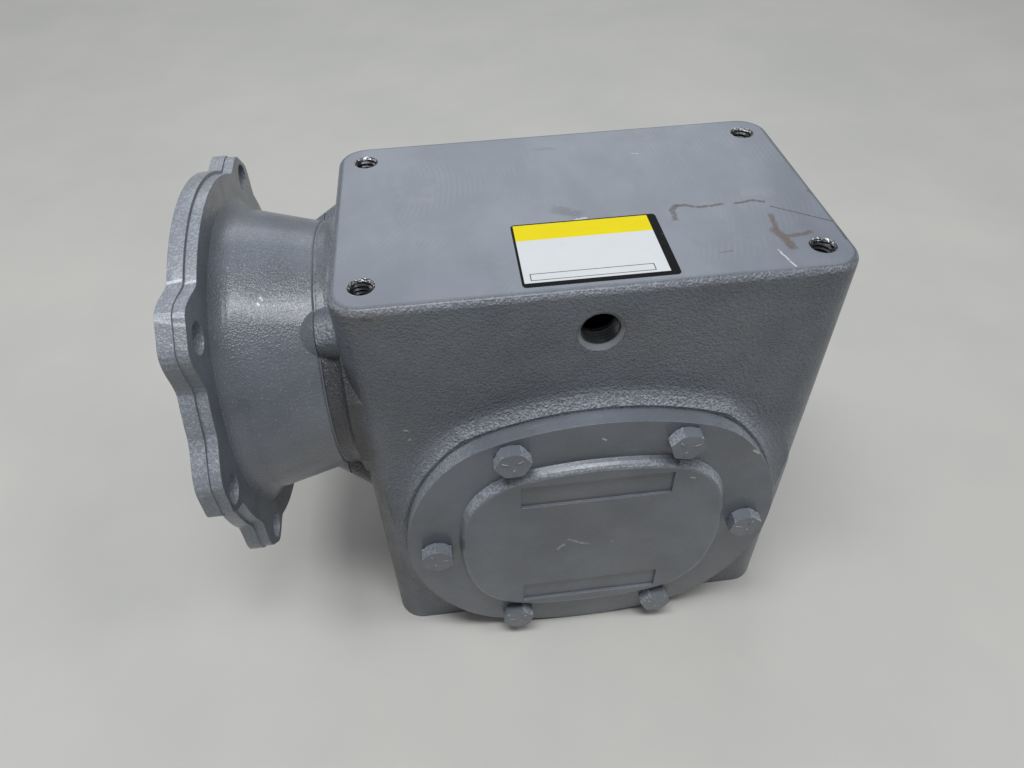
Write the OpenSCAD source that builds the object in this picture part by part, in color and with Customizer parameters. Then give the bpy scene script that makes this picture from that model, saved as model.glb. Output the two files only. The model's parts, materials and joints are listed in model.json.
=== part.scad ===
// Right-angle worm gear reducer: one cast housing, a hollow input worm behind a
// motor flange, a throated bronze wheel and a solid output shaft on taper bearings.
// X runs along the worm, Y along the output shaft, Z up. The origin lies on the
// base face, under the crossing of the two shaft directions.

/* [Housing] */
// Length of the housing along the worm
housing_length = 185; // [178:1:200]
// Depth of the housing along the output shaft, without its cover bosses
housing_depth = 113; // [111:1:124]
// Height of the housing from base to machined top
housing_height = 200; // [198:1:225]
// Height of the output axis above the base
output_height = 73; // [72:0.5:75]
// Thickness of the end walls
end_wall = 12; // [9:0.5:14]
// Thickness of the side walls that carry the covers
side_wall = 10.5; // [9.5:0.5:12]
// Thickness of the floor and of the roof
floor_wall = 10; // [7:0.5:12]
// Plan radius of the four upright corners
corner_radius = 12; // [6:0.5:14]
// Radius of the cast edge under the machined top
edge_radius = 3; // [1:0.5:4]
// Height of the boss under each cover
boss_height = 3; // [2:0.5:5]
// Width of the cove that runs out of each cover boss
cove_width = 10; // [6:0.5:11]
// Length of the neck that carries the motor flange
neck_length = 8; // [6:0.5:12]
// Outer radius of the neck
neck_radius = 52; // [50:0.5:54]

/* [Mounting holes] */
// Spacing of the tapped mounting holes along X
mount_spacing_x = 161.3; // [158:0.1:164]
// Spacing of the tapped mounting holes along Y
mount_spacing_y = 85.8; // [82:0.1:88]
// Drilled radius of the tapped holes in the machined top
mount_hole_radius = 3.97; // [3:0.01:4.3]
// Drilled radius of the tapped holes in the base
base_hole_radius = 4.67; // [4.4:0.01:5.5]
// Depth of the tapped mounting holes
mount_hole_depth = 20; // [12:0.5:26]
// Countersink width round the tapped mounting holes
mount_chamfer = 0.9; // [0.4:0.1:1.5]

/* [Oil ports] */
// Drilled radius of a pipe-threaded port
port_radius = 7.2; // [5.5:0.1:8.5]
// Depth of the chamfer at the mouth of a port
port_chamfer = 1.3; // [0.6:0.1:1.8]
// Distance of the filling port below the machined top
fill_drop = 18.6; // [16:0.1:22]
// Height of the drain port above the base
drain_height = 26; // [24:0.5:34]

/* [Gearing] */
// Teeth on the wheel
wheel_teeth = 30; // [28:1:32]
// Axial module of the worm
gear_module = 3.3867; // [3.3:0.0001:3.45]
// Pitch diameter of the worm
worm_pitch_diameter = 31.75; // [31:0.05:33]
// Pressure angle in the axial plane
pressure_angle = 20; // [18:0.5:22]
// Clearance left on each flank, half of the backlash
flank_clearance = 0.2; // [0.16:0.01:0.26]
// Face width of the wheel
wheel_face = 22; // [18:0.5:24]
// Greatest radius of the wheel, over the corners of the teeth
wheel_outer_radius = 56.6; // [55.5:0.1:57.2]
// Radius at which the bronze rim seats on its hub
rim_seat_radius = 36; // [34:0.5:38]
// Whole turns of thread on the worm
thread_turns = 5; // [4:1:5]

/* [Input side] */
// Radius of the motor shaft bore in the hollow worm
input_bore_radius = 7.94; // [6:0.01:8.5]
// Depth of the motor shaft bore
input_bore_depth = 50; // [44:0.5:52]
// Width of the input key seat
input_key_width = 4.8; // [3:0.1:5.5]
// Depth of the input key seat beyond the bore
input_key_depth = 2.1; // [1.5:0.1:2.6]
// Distance of the quill's end behind the face of the motor flange
quill_setback = 12.5; // [10:0.5:16]

/* [Motor flange] */
// Length of the bell from the neck gasket to the motor face
bell_length = 43.5; // [42:0.5:50]
// Bolt circle diameter for the motor
motor_pcd = 149.2; // [148:0.1:151]
// Radius of the motor bolt holes
motor_hole_radius = 5.55; // [4.5:0.05:6]
// Radius of the register that centres the motor
register_radius = 57.15; // [56:0.05:58.5]
// Depth of the register
register_depth = 4.8; // [3:0.1:5.5]
// Thickness of the flange plate
flange_thickness = 9.5; // [8:0.5:12]
// Radius of the flange plate between its ears
flange_radius = 73.4; // [72:0.1:75]
// Radius over the longest ears
ear_radius = 85.3; // [83.5:0.1:88]
// Height of the step at the rim's parting line
rim_draft = 1.4; // [0.3:0.1:2]
// Radius of the fillet between the bell and the plate
bell_fillet = 8.6; // [6:0.1:10]
// Outer radius of the bell where its fillet begins
bell_large_radius = 58.4; // [57:0.1:60]
// Thickness of the bell wall
bell_wall = 6; // [5:0.25:7]
// Thickness of the bell's floor against the neck
bell_floor = 9; // [7:0.5:11]

/* [Output shaft] */
// Radius of the output extension
output_radius = 14.2875; // [12:0.0125:15]
// Length of the output extension beyond its cover hub
output_length = 58; // [40:1:80]
// Width of the output key seat
output_key_width = 6.35; // [5:0.05:8]
// Depth of the output key seat
output_key_depth = 3.6; // [2:0.1:4.5]
// Radius of the seat for the wheel's hub
wheel_seat_radius = 19.05; // [18:0.05:20]
// Length of the wheel's hub
hub_length = 40; // [36:0.5:44]

/* [Covers] */
// Radius of the round edge of a cover
cover_radius = 80.2; // [78:0.1:82]
// Half height of a cover
cover_flat = 72; // [70:0.5:73]
// Radius of the flatter arcs along a cover's top and bottom
cover_brow = 130; // [110:1:160]
// Radius of the turns between a cover's arcs
cover_turn = 45; // [35:1:55]
// Thickness of a cover's plate
cover_thickness = 6.6; // [5.5:0.1:8]
// Radius of the housing opening that a cover closes
opening_radius = 58; // [57.6:0.1:59]
// Depth of a cover's spigot in its opening
spigot_depth = 8; // [5:0.5:9]
// Bolt circle diameter of a cover
cover_pcd = 135.7; // [134:0.1:137]
// Bolts in each cover
cover_bolts = 6; // [6:1:6]
// Half width of the raised pad of the closed cover
pad_half_width = 55; // [52:0.5:56]
// Half height of the raised pad
pad_half_height = 48.6; // [46:0.1:50]
// Radius of the arcs along the pad's sides
pad_side = 105; // [90:1:130]
// Radius of the arcs along the pad's top and bottom
pad_brow = 158; // [130:1:180]
// Height of the raised pad
pad_height = 4; // [2.5:0.1:5]
// Corner radius of the raised pad
pad_corner = 30; // [26:0.5:36]
// Width of the sloping shoulder round the pad
pad_shoulder = 3; // [1.5:0.1:4]
// Length of a name recess, left bare
recess_length = 62.4; // [50:0.1:66]
// Height of a name recess
recess_height = 13.7; // [10:0.1:15]
// Depth of a name recess
recess_depth = 1.2; // [0.6:0.1:2]

/* [Fasteners] */
// Shank radius of a cover bolt
bolt_radius = 3.9; // [3:0.05:4.2]
// Length of a cover bolt under its head
bolt_length = 17.5; // [15:0.5:18]
// Width across flats of a cover bolt's head
bolt_flats = 12.7; // [10:0.1:14]
// Height of a cover bolt's head
bolt_head = 5.4; // [4:0.1:7]
// Shank radius of a screw inside the bell
screw_radius = 3.1; // [2.5:0.05:3.3]
// Length of a screw inside the bell under its head
screw_length = 18; // [16:0.5:20]
// Distance of the screws outside the input bearing
screw_wall = 7.2; // [6.8:0.1:7.8]

/* [Hidden] */
$fn = 96;
overrun = 1;

// Clearances that every piece shares
fit_gap = 0.02;
running_gap = 0.05;
ball_gap = 0.15;
shim = 0.5;
gasket = 0.5;

// Places up and along the housing
half_length = housing_length / 2;
half_depth = housing_depth / 2;
inner_length = housing_length - 2 * end_wall;
inner_depth = housing_depth - 2 * side_wall;
fill_height = housing_height - fill_drop;
cavity_corner = 8;
column_radius = 12;
neck_fillet_share = 0.6;
neck_fillet = neck_length * neck_fillet_share;
flare_tuck = 2;
joint_groove = 0.6;
ridge_radius = 10;
ridge_slope = 33;
ridge_length = 34;
ridge_reach = 5;
ridge_centre = neck_radius + ridge_reach - ridge_radius / cos(ridge_slope);

// Gearing worked out from the module
lead = PI * gear_module;
wheel_pitch_radius = wheel_teeth * gear_module / 2;
worm_pitch_radius = worm_pitch_diameter / 2;
centre_distance = wheel_pitch_radius + worm_pitch_radius;
worm_height = output_height + centre_distance;
tip_clearance_share = 0.2;
worm_tip_radius = worm_pitch_radius + gear_module;
worm_root_radius = worm_pitch_radius - (1 + tip_clearance_share) * gear_module;
throat_radius = worm_root_radius + tip_clearance_share * gear_module;
gullet_radius = worm_tip_radius + tip_clearance_share * gear_module;
wheel_slices = 6;
flank_shares = [0, 0.1, 0.28, 0.6, 1];
sweep_samples = 30;
rim_core_radius = 41;
rim_tube_radius = 43;
rim_lip = 1;
thread_sink = 0.6;
thread_steps = 28;
runout_steps = 9;

// Input bearing and the pieces beside it
quill_radius = 15;
input_section = 16;
input_outer_radius = quill_radius + input_section;
input_width = 16;
input_ball_share = 0.2975;
input_ball_radius = input_section * input_ball_share;
input_balls = 9;
input_spigot = 2.5;
input_lip = 6;
input_lip_radius = input_outer_radius - input_lip;
input_boss_wall = 7;
input_boss_radius = input_outer_radius + input_boss_wall;
input_boss_reach = 7;
screw_circle = input_outer_radius + screw_wall;
shaft_ring_width = 1.2;
shaft_ring_rise = 3.5;
shaft_ring_radius = quill_radius + shaft_ring_rise;
shaft_ring_groove = 1;
input_seal_section = 8.5;
input_seal_radius = quill_radius + input_seal_section;
input_seal_width = 7;
input_hub_wall = 6.5;
input_hub_radius = input_seal_radius + input_hub_wall;
input_hub_rise = 3;
input_seal_ledge = 4.5;
neck_face = -half_length - neck_length;
flange_foot = neck_face - gasket;
flange_front = flange_foot - bell_length;
input_bearing_x = neck_face + input_spigot;
quill_end = flange_front + quill_setback;

// Bearing at the blind end of the worm
end_journal_radius = 12.5;
end_section = 13.5;
end_outer_radius = end_journal_radius + end_section;
end_width = 15;
end_ball_share = 0.294;
end_ball_radius = end_section * end_ball_share;
end_balls = 9;
end_boss_wall = 8;
end_boss_radius = end_outer_radius + end_boss_wall;
end_boss_reach = 15;
plug_recess = 1;
plug_width = 5;
plug_wall = 1.6;
bore_ring_width = 1.3;
bore_ring_groove = 1.4;
bore_ring_radius = end_outer_radius + bore_ring_groove;
bore_ring_depth = 3.6;
end_play = 1.2;
end_bearing_far = half_length - plug_recess - plug_width - end_play - bore_ring_width;
end_bearing_x = end_bearing_far - end_width;

// Steps of the worm shaft
worm_collar_rise = 3.4;
worm_collar_radius = quill_radius + worm_collar_rise;
worm_collar_width = 6;
worm_core_radius = 14;
end_collar_rise = 3.1;
end_collar_radius = end_journal_radius + end_collar_rise;
end_collar_width = 6;
relief_width = 3;
thread_half_length = thread_turns * lead / 2;
relief_end = thread_half_length + relief_width;

// Taper bearings and the steps of the output shaft
journal_radius = 15.875;
cup_radius = 29.566;
taper_width = 15.875;
cup_width = 11.8;
roller_circle = 22.6;
roller_radius = 3.1;
roller_length = 10.8;
roller_count = 15;
roller_tilt = 12;
roller_taper = 1.6;
roller_gap = 0.15;
rib_radius = 22.4;
rib_width = 1.6;
cage_thickness = 1.1;
cage_reach = 1.3;
cup_inset = 4;
cover_plane = half_depth + boss_height + shim;
cup_back = cover_plane - cup_inset;
cone_back = cup_back - taper_width;
shaft_end_gap = 0.8;
collar_radius = 22.6;
spacer_radius = 22;
hub_radius = 28;
wheel_key_width = 9.5;
wheel_key_length = 34;
wheel_key_sink = 5.2;

// Cover details
boss_margin = 1.2;
cup_wall = 7.434;
cup_tube_radius = cup_radius + cup_wall;
spigot_wall = 6;
spigot_floor = 1;
cup_relief_radius = 22;
cover_hub_radius = 31;
cover_hub_rise = 8;
cover_hub_fillet = 3;
output_seal_radius = 23.8;
output_seal_width = 8;
seal_shell = 1.4;
seal_recess = 0.4;
shaft_clearance = 0.6;
scallop_radius = 11;
recess_centre = 36.4;
shoulder_steps = 4;
shoulder_slope = 20;
pad_skin = 0.3;
arc_steps = 8;
bolt_hole_gap = 0.35;
bolt_hole_depth = 12;
head_chamfer_share = 0.93;
washer_face = 0.4;
screw_head_radius = 4.8;
screw_head_height = 6.2;
screw_socket_radius = 2.9;
screw_socket_depth = 3.2;
screw_hole_depth = 14;
screw_count = 4;
plug_seat = 1;
plug_length = 7;
plug_socket = 6.6;
plug_socket_depth = 4.5;
cove_steps = 5;
fillet_steps = 5;
ear_steps = 9;
ring_steps = 8;
fillet_turn = 68;
parting_share = 0.42;
ear_tuck = 0.16;
// Ears of the motor flange: place, reach, half angles of the tip and of both flanks
ear_shares = [
    [45, 0.964, 3.2, 14, 14], [-44.5, 0.997, 3.4, 16, 15.5], [-88.7, 0.965, 3.6, 11, 18.5],
    [227, 0.968, 3, 12.5, 16], [135, 0.965, 3.2, 14, 14], [90, 0.965, 3.8, 15, 15]
];
hub_face = cover_plane + cover_thickness + cover_hub_rise;
output_end = hub_face + output_length;
output_key_length = 45;
shaft_chamfer = 1.2;

iron = [0.40, 0.42, 0.46];
steel = [0.72, 0.73, 0.75];
bronze = [0.74, 0.55, 0.28];
rubber = [0.10, 0.10, 0.11];
paper = [0.55, 0.48, 0.35];
zinc = [0.60, 0.61, 0.62];

// Local frames: along the worm, toward the motor, and out of each cover side
module along_worm(x) {
    translate([x, 0, worm_height]) rotate([0, 90, 0]) children();
}

module toward_motor(x) {
    translate([x, 0, worm_height]) rotate([0, -90, 0]) children();
}

module cover_side(side, distance) {
    translate([0, side * distance, output_height]) rotate([-90 * side, 0, 0]) children();
}

module ring_of(count, radius, start = 0) {
    for (i = [0 : count - 1])
        rotate(start + i * 360 / count) translate([radius, 0, 0]) children();
}

// Plain shapes that several pieces share
module rounded_rectangle(length, width, radius) {
    square([length - 2 * radius, width], center = true);
    square([length, width - 2 * radius], center = true);
    for (x = [-1, 1], y = [-1, 1])
        translate([x * (length / 2 - radius), y * (width / 2 - radius)]) circle(radius);
}

// Oval of twelve arcs: its sides, its brows above and below, and the turns between.
// A turn's centre lies on the normals where it meets a side and a brow.
function turn_centre(half_width, half_height, side, brow, turn) =
    let (across = half_width - side,
         down = half_height - brow,
         apart = sqrt(across * across + down * down),
         reach_side = side - turn,
         reach_brow = brow - turn,
         along = (reach_side * reach_side - reach_brow * reach_brow + apart * apart)
             / (2 * apart),
         off = sqrt(reach_side * reach_side - along * along))
    [across - (along * across + off * down) / apart,
        (along * down - off * across) / apart];

function arc(centre, radius, from, to) =
    [for (i = [0 : arc_steps - 1])
        let (a = from + (to - from) * i / arc_steps)
        [centre[0] + radius * cos(a), centre[1] + radius * sin(a)]];

// Points of an oval, drawn in by an inset
function oval_points(half_width, half_height, side, brow, turn, inset) =
    let (middle = turn_centre(half_width, half_height, side, brow, turn),
         low = atan2(middle[1], middle[0] - half_width + side),
         high = atan2(middle[1] - half_height + brow, middle[0]),
         quarter = concat(arc([half_width - side, 0], side - inset, 0, low),
             arc(middle, turn - inset, low, high),
             arc([0, half_height - brow], brow - inset, high, 90)),
         top = half_height - inset,
         count = len(quarter))
    concat(quarter, [[0, top]],
        [for (i = [count - 1 : -1 : 0]) [-quarter[i][0], quarter[i][1]]],
        [for (i = [1 : count - 1]) [-quarter[i][0], -quarter[i][1]]], [[0, -top]],
        [for (i = [count - 1 : -1 : 1]) [quarter[i][0], -quarter[i][1]]]);

module tube(outer, inner, height) {
    rotate_extrude() translate([inner, 0]) square([outer - inner, height]);
}

// Upright outline with its two top corners rounded
module rounded_top(width, height, radius) {
    translate([-width / 2, 0]) square([width, height - radius]);
    translate([-width / 2 + radius, 0]) square([width - 2 * radius, height]);
    for (x = [-1, 1])
        translate([x * (width / 2 - radius), height - radius]) circle(radius);
}

// Concave run-out from a raised face down to the wall it stands on
function cove_points(inner, width, height) =
    let (radius = (width * width + height * height) / (2 * height),
         sweep = asin(width / radius))
    [for (i = [0 : cove_steps])
        let (a = sweep * i / cove_steps)
        [inner + width - radius * sin(a), radius * (1 - cos(a))]];

// Housing
module housing_block() {
    rotate([90, 0, 90])
        linear_extrude(housing_length - 2 * corner_radius, center = true)
        rounded_top(housing_depth, housing_height, edge_radius);
    rotate([90, 0, 0])
        linear_extrude(housing_depth - 2 * corner_radius, center = true)
        rounded_top(housing_length, housing_height, edge_radius);
    for (x = [-1, 1], y = [-1, 1])
        translate([x * (half_length - corner_radius), y * (half_depth - corner_radius), 0])
            rotate_extrude() intersection() {
                rounded_top(2 * corner_radius, housing_height, edge_radius);
                square([corner_radius, housing_height]);
            }
}

module boss_turn(radius, root) {
    rotate_extrude()
        polygon(concat([[0, -root], [radius + cove_width, -root]],
            cove_points(radius, cove_width, boss_height), [[0, boss_height]]));
}

module boss_outline(root) {
    brow = cover_brow - cover_flat;
    intersection() {
        boss_turn(cover_radius + boss_margin, root);
        translate([0, -brow, 0]) boss_turn(cover_brow + boss_margin, root);
        translate([0, brow, 0]) boss_turn(cover_brow + boss_margin, root);
    }
}

module cover_boss(side) {
    intersection() {
        cover_side(side, half_depth) boss_outline(side_wall);
        linear_extrude(housing_height)
            rounded_rectangle(housing_length, housing_depth + 2 * boss_height,
                corner_radius + boss_height);
    }
}

// Round ridges on the diagonals of the neck, centred on its gasket face
module neck_ridges(radius) {
    for (a = [45 : 90 : 315]) rotate(a)
        translate([ridge_centre, 0, 0]) rotate([0, -ridge_slope, 0])
            translate([0, 0, -ridge_length / 2]) cylinder(h = ridge_length, r = radius);
}

module neck() {
    flare = [for (i = [0 : fillet_steps])
        let (a = 90 * i / fillet_steps)
        [neck_radius + neck_fillet * (1 - sin(a)), neck_fillet * (1 - cos(a))]];
    toward_motor(-half_length) intersection() {
        union() {
            rotate_extrude()
                polygon(concat([[0, -end_wall / 2], [neck_radius + neck_fillet, -end_wall / 2]],
                    flare,
                    [[neck_radius, neck_length - joint_groove],
                        [neck_radius - joint_groove, neck_length], [0, neck_length]]));
            translate([0, 0, neck_length]) neck_ridges(ridge_radius);
        }
        translate([flare_tuck - worm_height, flare_tuck - half_depth, -end_wall / 2])
            cube([housing_height - 2 * flare_tuck, housing_depth - 2 * flare_tuck,
                neck_length + end_wall / 2]);
    }
}

module cavity() {
    difference() {
        translate([0, 0, floor_wall])
            linear_extrude(housing_height - 2 * floor_wall)
            rounded_rectangle(inner_length, inner_depth, cavity_corner);
        for (x = [-1, 1], y = [-1, 1])
            translate([x * mount_spacing_x / 2, y * mount_spacing_y / 2, 0])
                cylinder(h = housing_height, r = column_radius);
        along_worm(-inner_length / 2 - overrun)
            cylinder(h = input_boss_reach + overrun, r = input_boss_radius);
        along_worm(inner_length / 2 - end_boss_reach)
            cylinder(h = end_boss_reach + overrun, r = end_boss_radius);
    }
}

module tapped_hole(radius, depth, chamfer) {
    translate([0, 0, -depth]) cylinder(h = depth + overrun, r = radius);
    translate([0, 0, -chamfer])
        cylinder(h = chamfer + overrun, r1 = radius, r2 = radius + chamfer + overrun);
}

module mount_holes() {
    for (x = [-1, 1], y = [-1, 1])
        translate([x * mount_spacing_x / 2, y * mount_spacing_y / 2, 0]) {
            translate([0, 0, housing_height])
                tapped_hole(mount_hole_radius, mount_hole_depth, mount_chamfer);
            rotate([180, 0, 0])
                tapped_hole(base_hole_radius, mount_hole_depth, mount_chamfer);
        }
}

module drain_frame() {
    translate([half_length, 0, drain_height]) rotate([0, 90, 0]) children();
}

module fill_frame(side) {
    translate([0, side * half_depth, fill_height]) rotate([-90 * side, 0, 0]) children();
}

module worm_bores() {
    along_worm(neck_face - overrun)
        cylinder(h = input_spigot + input_width + overrun,
            r = input_outer_radius + fit_gap);
    along_worm(neck_face)
        cylinder(h = neck_length + end_wall + input_boss_reach + overrun,
            r = input_lip_radius);
    along_worm(half_length - end_wall - end_boss_reach - overrun)
        cylinder(h = end_wall + end_boss_reach + 2 * overrun,
            r = end_outer_radius + fit_gap);
    along_worm(end_bearing_far) cylinder(h = bore_ring_width, r = bore_ring_radius);
    toward_motor(neck_face)
        ring_of(screw_count, screw_circle)
        translate([0, 0, -screw_hole_depth])
        cylinder(h = screw_hole_depth + overrun, r = screw_radius + fit_gap);
}

module housing() {
    color(iron) difference() {
        union() {
            housing_block();
            cover_boss(-1);
            cover_boss(1);
            neck();
        }
        cavity();
        worm_bores();
        mount_holes();
        for (side = [-1, 1]) {
            cover_side(side, inner_depth / 2 - overrun)
                cylinder(h = side_wall + boss_height + 2 * overrun, r = opening_radius);
            cover_side(side, half_depth + boss_height)
                ring_of(cover_bolts, cover_pcd / 2)
                translate([0, 0, -bolt_hole_depth])
                cylinder(h = bolt_hole_depth + overrun, r = bolt_radius + fit_gap);
            fill_frame(side) tapped_hole(port_radius, side_wall + overrun, port_chamfer);
        }
        drain_frame() tapped_hole(port_radius, end_wall + overrun, port_chamfer);
    }
}

// Motor flange: a bell on the neck, with an eared plate for the motor
// One flank of an ear: a smooth S from its tip down to the rim
function ear_flank(reach, tip, side, width, foot) =
    [for (i = [0 : ear_steps])
        let (share = i / ear_steps,
             angle = tip + (width - tip) * share,
             radius = foot + (reach - foot) * (1 + cos(180 * share)) / 2)
        [radius * cos(side * angle), radius * sin(side * angle)]];

module ear(share, tip, back, front, grow) {
    reach = ear_radius * share + grow / 2;
    foot = flange_radius + grow - ear_tuck;
    far = ear_flank(reach, tip, 1, front, foot);
    near = ear_flank(reach, tip, -1, back, foot);
    polygon(concat([[0, 0]], [for (i = [ear_steps : -1 : 0]) near[i]], far));
}

module flange_outline(grow) {
    circle(flange_radius + grow);
    for (e = ear_shares) rotate(e[0]) ear(e[1], e[2], e[3], e[4], grow);
}

module input_flange() {
    plate = bell_length - flange_thickness;
    fillet_start = plate - bell_fillet * sin(fillet_turn);
    fillet = [for (i = [0 : ring_steps])
        let (a = fillet_turn * i / ring_steps)
        [bell_large_radius + bell_fillet * (1 - cos(a)), fillet_start + bell_fillet * sin(a)]];
    crest = fillet[ring_steps][0];
    bell = concat(
        [[0, 0], [neck_radius - joint_groove, 0], [neck_radius, joint_groove],
            [neck_radius, 2 * joint_groove]],
        fillet, [[crest, bell_length - register_depth], [0, bell_length - register_depth]]);
    inside = [
        [0, bell_floor], [neck_radius - bell_wall, bell_floor],
        [bell_large_radius - bell_wall, fillet_start],
        [bell_large_radius - bell_wall, bell_length + overrun], [0, bell_length + overrun]
    ];
    color(iron) difference() {
        toward_motor(flange_foot) union() {
            difference() {
                union() {
                    rotate_extrude() polygon(bell);
                    translate([0, 0, plate])
                        linear_extrude(flange_thickness * parting_share)
                        flange_outline(0);
                    translate([0, 0, plate + flange_thickness * parting_share])
                        linear_extrude(flange_thickness * (1 - parting_share))
                        flange_outline(rim_draft);
                    intersection() {
                        translate([0, 0, -gasket]) neck_ridges(ridge_radius);
                        cylinder(h = plate, r = flange_radius);
                    }
                }
                rotate_extrude() polygon(inside);
                translate([0, 0, bell_length - register_depth])
                    cylinder(h = register_depth + overrun, r = register_radius);
            }
            cylinder(h = bell_floor + input_hub_rise, r = input_hub_radius);
            translate([0, 0, flange_foot - input_bearing_x])
                tube(input_outer_radius, input_seal_radius, input_bearing_x - flange_foot);
        }
        toward_motor(flange_foot) {
            translate([0, 0, input_seal_ledge])
                cylinder(h = bell_floor + input_hub_rise, r = input_seal_radius + fit_gap);
            translate([0, 0, -overrun])
                cylinder(h = bell_floor, r = quill_radius + shaft_clearance);
            ring_of(screw_count, screw_circle) translate([0, 0, -overrun])
                cylinder(h = bell_floor + 2 * overrun, r = screw_radius + bolt_hole_gap);
            for (a = [45 : 90 : 315]) rotate(a) motor_hole();
            for (a = [-90, 90]) rotate(a) motor_hole();
        }
    }
}

module motor_hole() {
    translate([motor_pcd / 2, 0, bell_length - flange_thickness - overrun])
        cylinder(h = flange_thickness + 2 * overrun, r = motor_hole_radius);
}

module flange_gasket() {
    color(paper) toward_motor(neck_face) difference() {
        union() {
            tube(neck_radius - joint_groove, input_outer_radius + fit_gap, gasket);
            intersection() {
                neck_ridges(ridge_radius - joint_groove);
                tube(flange_radius, neck_radius - bell_wall, gasket);
            }
        }
        ring_of(screw_count, screw_circle) translate([0, 0, -overrun])
            cylinder(h = gasket + 2 * overrun, r = screw_radius + bolt_hole_gap);
    }
}

module socket_screw() {
    difference() {
        cylinder(h = screw_head_height, r = screw_head_radius);
        translate([0, 0, screw_head_height - screw_socket_depth])
            cylinder(h = screw_socket_depth + overrun, r = screw_socket_radius, $fn = 6);
    }
    translate([0, 0, -screw_length]) cylinder(h = screw_length, r = screw_radius);
}

module flange_screws() {
    color(steel) toward_motor(flange_foot - bell_floor)
        ring_of(screw_count, screw_circle) socket_screw();
}

// Lip seal with its shell, sealing lip and spring groove
module lip_seal(shaft, outer, width) {
    lip = shaft + running_gap;
    middle_share = 0.45;
    waist = shaft + (outer - shaft) * middle_share;
    rotate_extrude()
        polygon([
            [lip, width * middle_share], [waist, 0], [outer, 0], [outer, width],
            [waist, width], [lip + seal_shell / 2, width],
            [lip + seal_shell, width * (1 - middle_share)]
        ]);
}

module input_seal() {
    color(rubber) toward_motor(flange_foot - input_seal_ledge)
        lip_seal(quill_radius, input_seal_radius, input_seal_width);
}

// Worm: thread swept along its helix, with a run-out at each end
function thread_half(radius) =
    lead / 4 - (radius - worm_pitch_radius) * tan(pressure_angle);

function thread_ring(angle, tip) =
    let (x = lead * angle / 360, root = worm_root_radius - thread_sink)
    [for (p = [[root, -thread_half(root)], [tip, -thread_half(tip)],
               [tip, thread_half(tip)], [root, thread_half(root)]])
        [x + p[1], p[0] * sin(angle), -p[0] * cos(angle)]];

module worm_thread() {
    stations = thread_turns * thread_steps;
    low = worm_root_radius - thread_sink / 2;
    rings = [for (i = [0 : stations])
        let (rise = min(1, min(i, stations - i) / runout_steps))
        thread_ring((i - stations / 2) * 360 / thread_steps,
            low + (worm_tip_radius - low) * rise)];
    points = [for (ring = rings, p = ring) p];
    sides = [for (i = [0 : stations - 1], j = [0 : 3])
        let (a = 4 * i + j, b = 4 * i + (j + 1) % 4)
        each [[a, b, b + 4], [a, b + 4, a + 4]]];
    last = 4 * stations;
    polyhedron(points, concat(sides, [[3, 2, 1], [3, 1, 0],
        [last, last + 1, last + 2], [last, last + 2, last + 3]]));
}

module worm_shaft() {
    journal_end = end_bearing_far;
    shoulder = input_bearing_x + input_width;
    color(steel) difference() {
        union() {
            along_worm(quill_end) cylinder(h = shoulder - quill_end, r = quill_radius);
            along_worm(shoulder) cylinder(h = worm_collar_width, r = worm_collar_radius);
            along_worm(shoulder) cylinder(h = -relief_end - shoulder, r = worm_core_radius);
            along_worm(-relief_end) cylinder(h = 2 * relief_end, r = worm_root_radius);
            along_worm(relief_end)
                cylinder(h = end_bearing_x - relief_end, r = worm_core_radius);
            along_worm(end_bearing_x - end_collar_width)
                cylinder(h = end_collar_width, r = end_collar_radius);
            along_worm(end_bearing_x)
                cylinder(h = journal_end - end_bearing_x, r = end_journal_radius);
            translate([0, 0, worm_height]) worm_thread();
        }
        along_worm(quill_end - overrun)
            cylinder(h = input_bore_depth + overrun, r = input_bore_radius);
        translate([quill_end - overrun, -input_key_width / 2, worm_height])
            cube([input_bore_depth + overrun, input_key_width,
                input_bore_radius + input_key_depth]);
        along_worm(input_bearing_x - shaft_ring_width)
            tube(quill_radius + overrun, quill_radius - shaft_ring_groove, shaft_ring_width);
    }
}

// Deep-groove ball bearings, built about Z from their left face
groove_share = 0.34;
module ball_race_inner(inner, outer, width, ball) {
    pitch = (inner + outer) / 2;
    rotate_extrude() difference() {
        translate([inner, 0]) square([(outer - inner) * groove_share, width]);
        translate([pitch, width / 2]) circle(ball + ball_gap);
    }
}

module ball_race_outer(inner, outer, width, ball) {
    pitch = (inner + outer) / 2;
    rotate_extrude() difference() {
        translate([outer - (outer - inner) * groove_share, 0])
            square([(outer - inner) * groove_share, width]);
        translate([pitch, width / 2]) circle(ball + ball_gap);
    }
}

module ball_set(inner, outer, width, ball, count) {
    ring_of(count, (inner + outer) / 2) translate([0, 0, width / 2]) sphere(ball);
}

module ball_cage(inner, outer, width, ball, count) {
    pitch = (inner + outer) / 2;
    reach = ball + cage_reach;
    difference() {
        translate([0, 0, width / 2 - reach])
            tube(pitch + cage_thickness, pitch - cage_thickness, 2 * reach);
        ring_of(count, pitch - ball) translate([0, 0, width / 2]) rotate([0, 90, 0])
            cylinder(h = 2 * ball, r = ball + ball_gap);
    }
}

module input_bearing_inner() {
    color(steel) along_worm(input_bearing_x)
        ball_race_inner(quill_radius + fit_gap, input_outer_radius, input_width,
            input_ball_radius);
}

module input_bearing_outer() {
    color(steel) along_worm(input_bearing_x)
        ball_race_outer(quill_radius + fit_gap, input_outer_radius, input_width,
            input_ball_radius);
}

module input_bearing_balls() {
    color(steel) along_worm(input_bearing_x)
        ball_set(quill_radius + fit_gap, input_outer_radius, input_width,
            input_ball_radius, input_balls);
}

module input_bearing_cage() {
    color(bronze) along_worm(input_bearing_x)
        ball_cage(quill_radius + fit_gap, input_outer_radius, input_width,
            input_ball_radius, input_balls);
}

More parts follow.
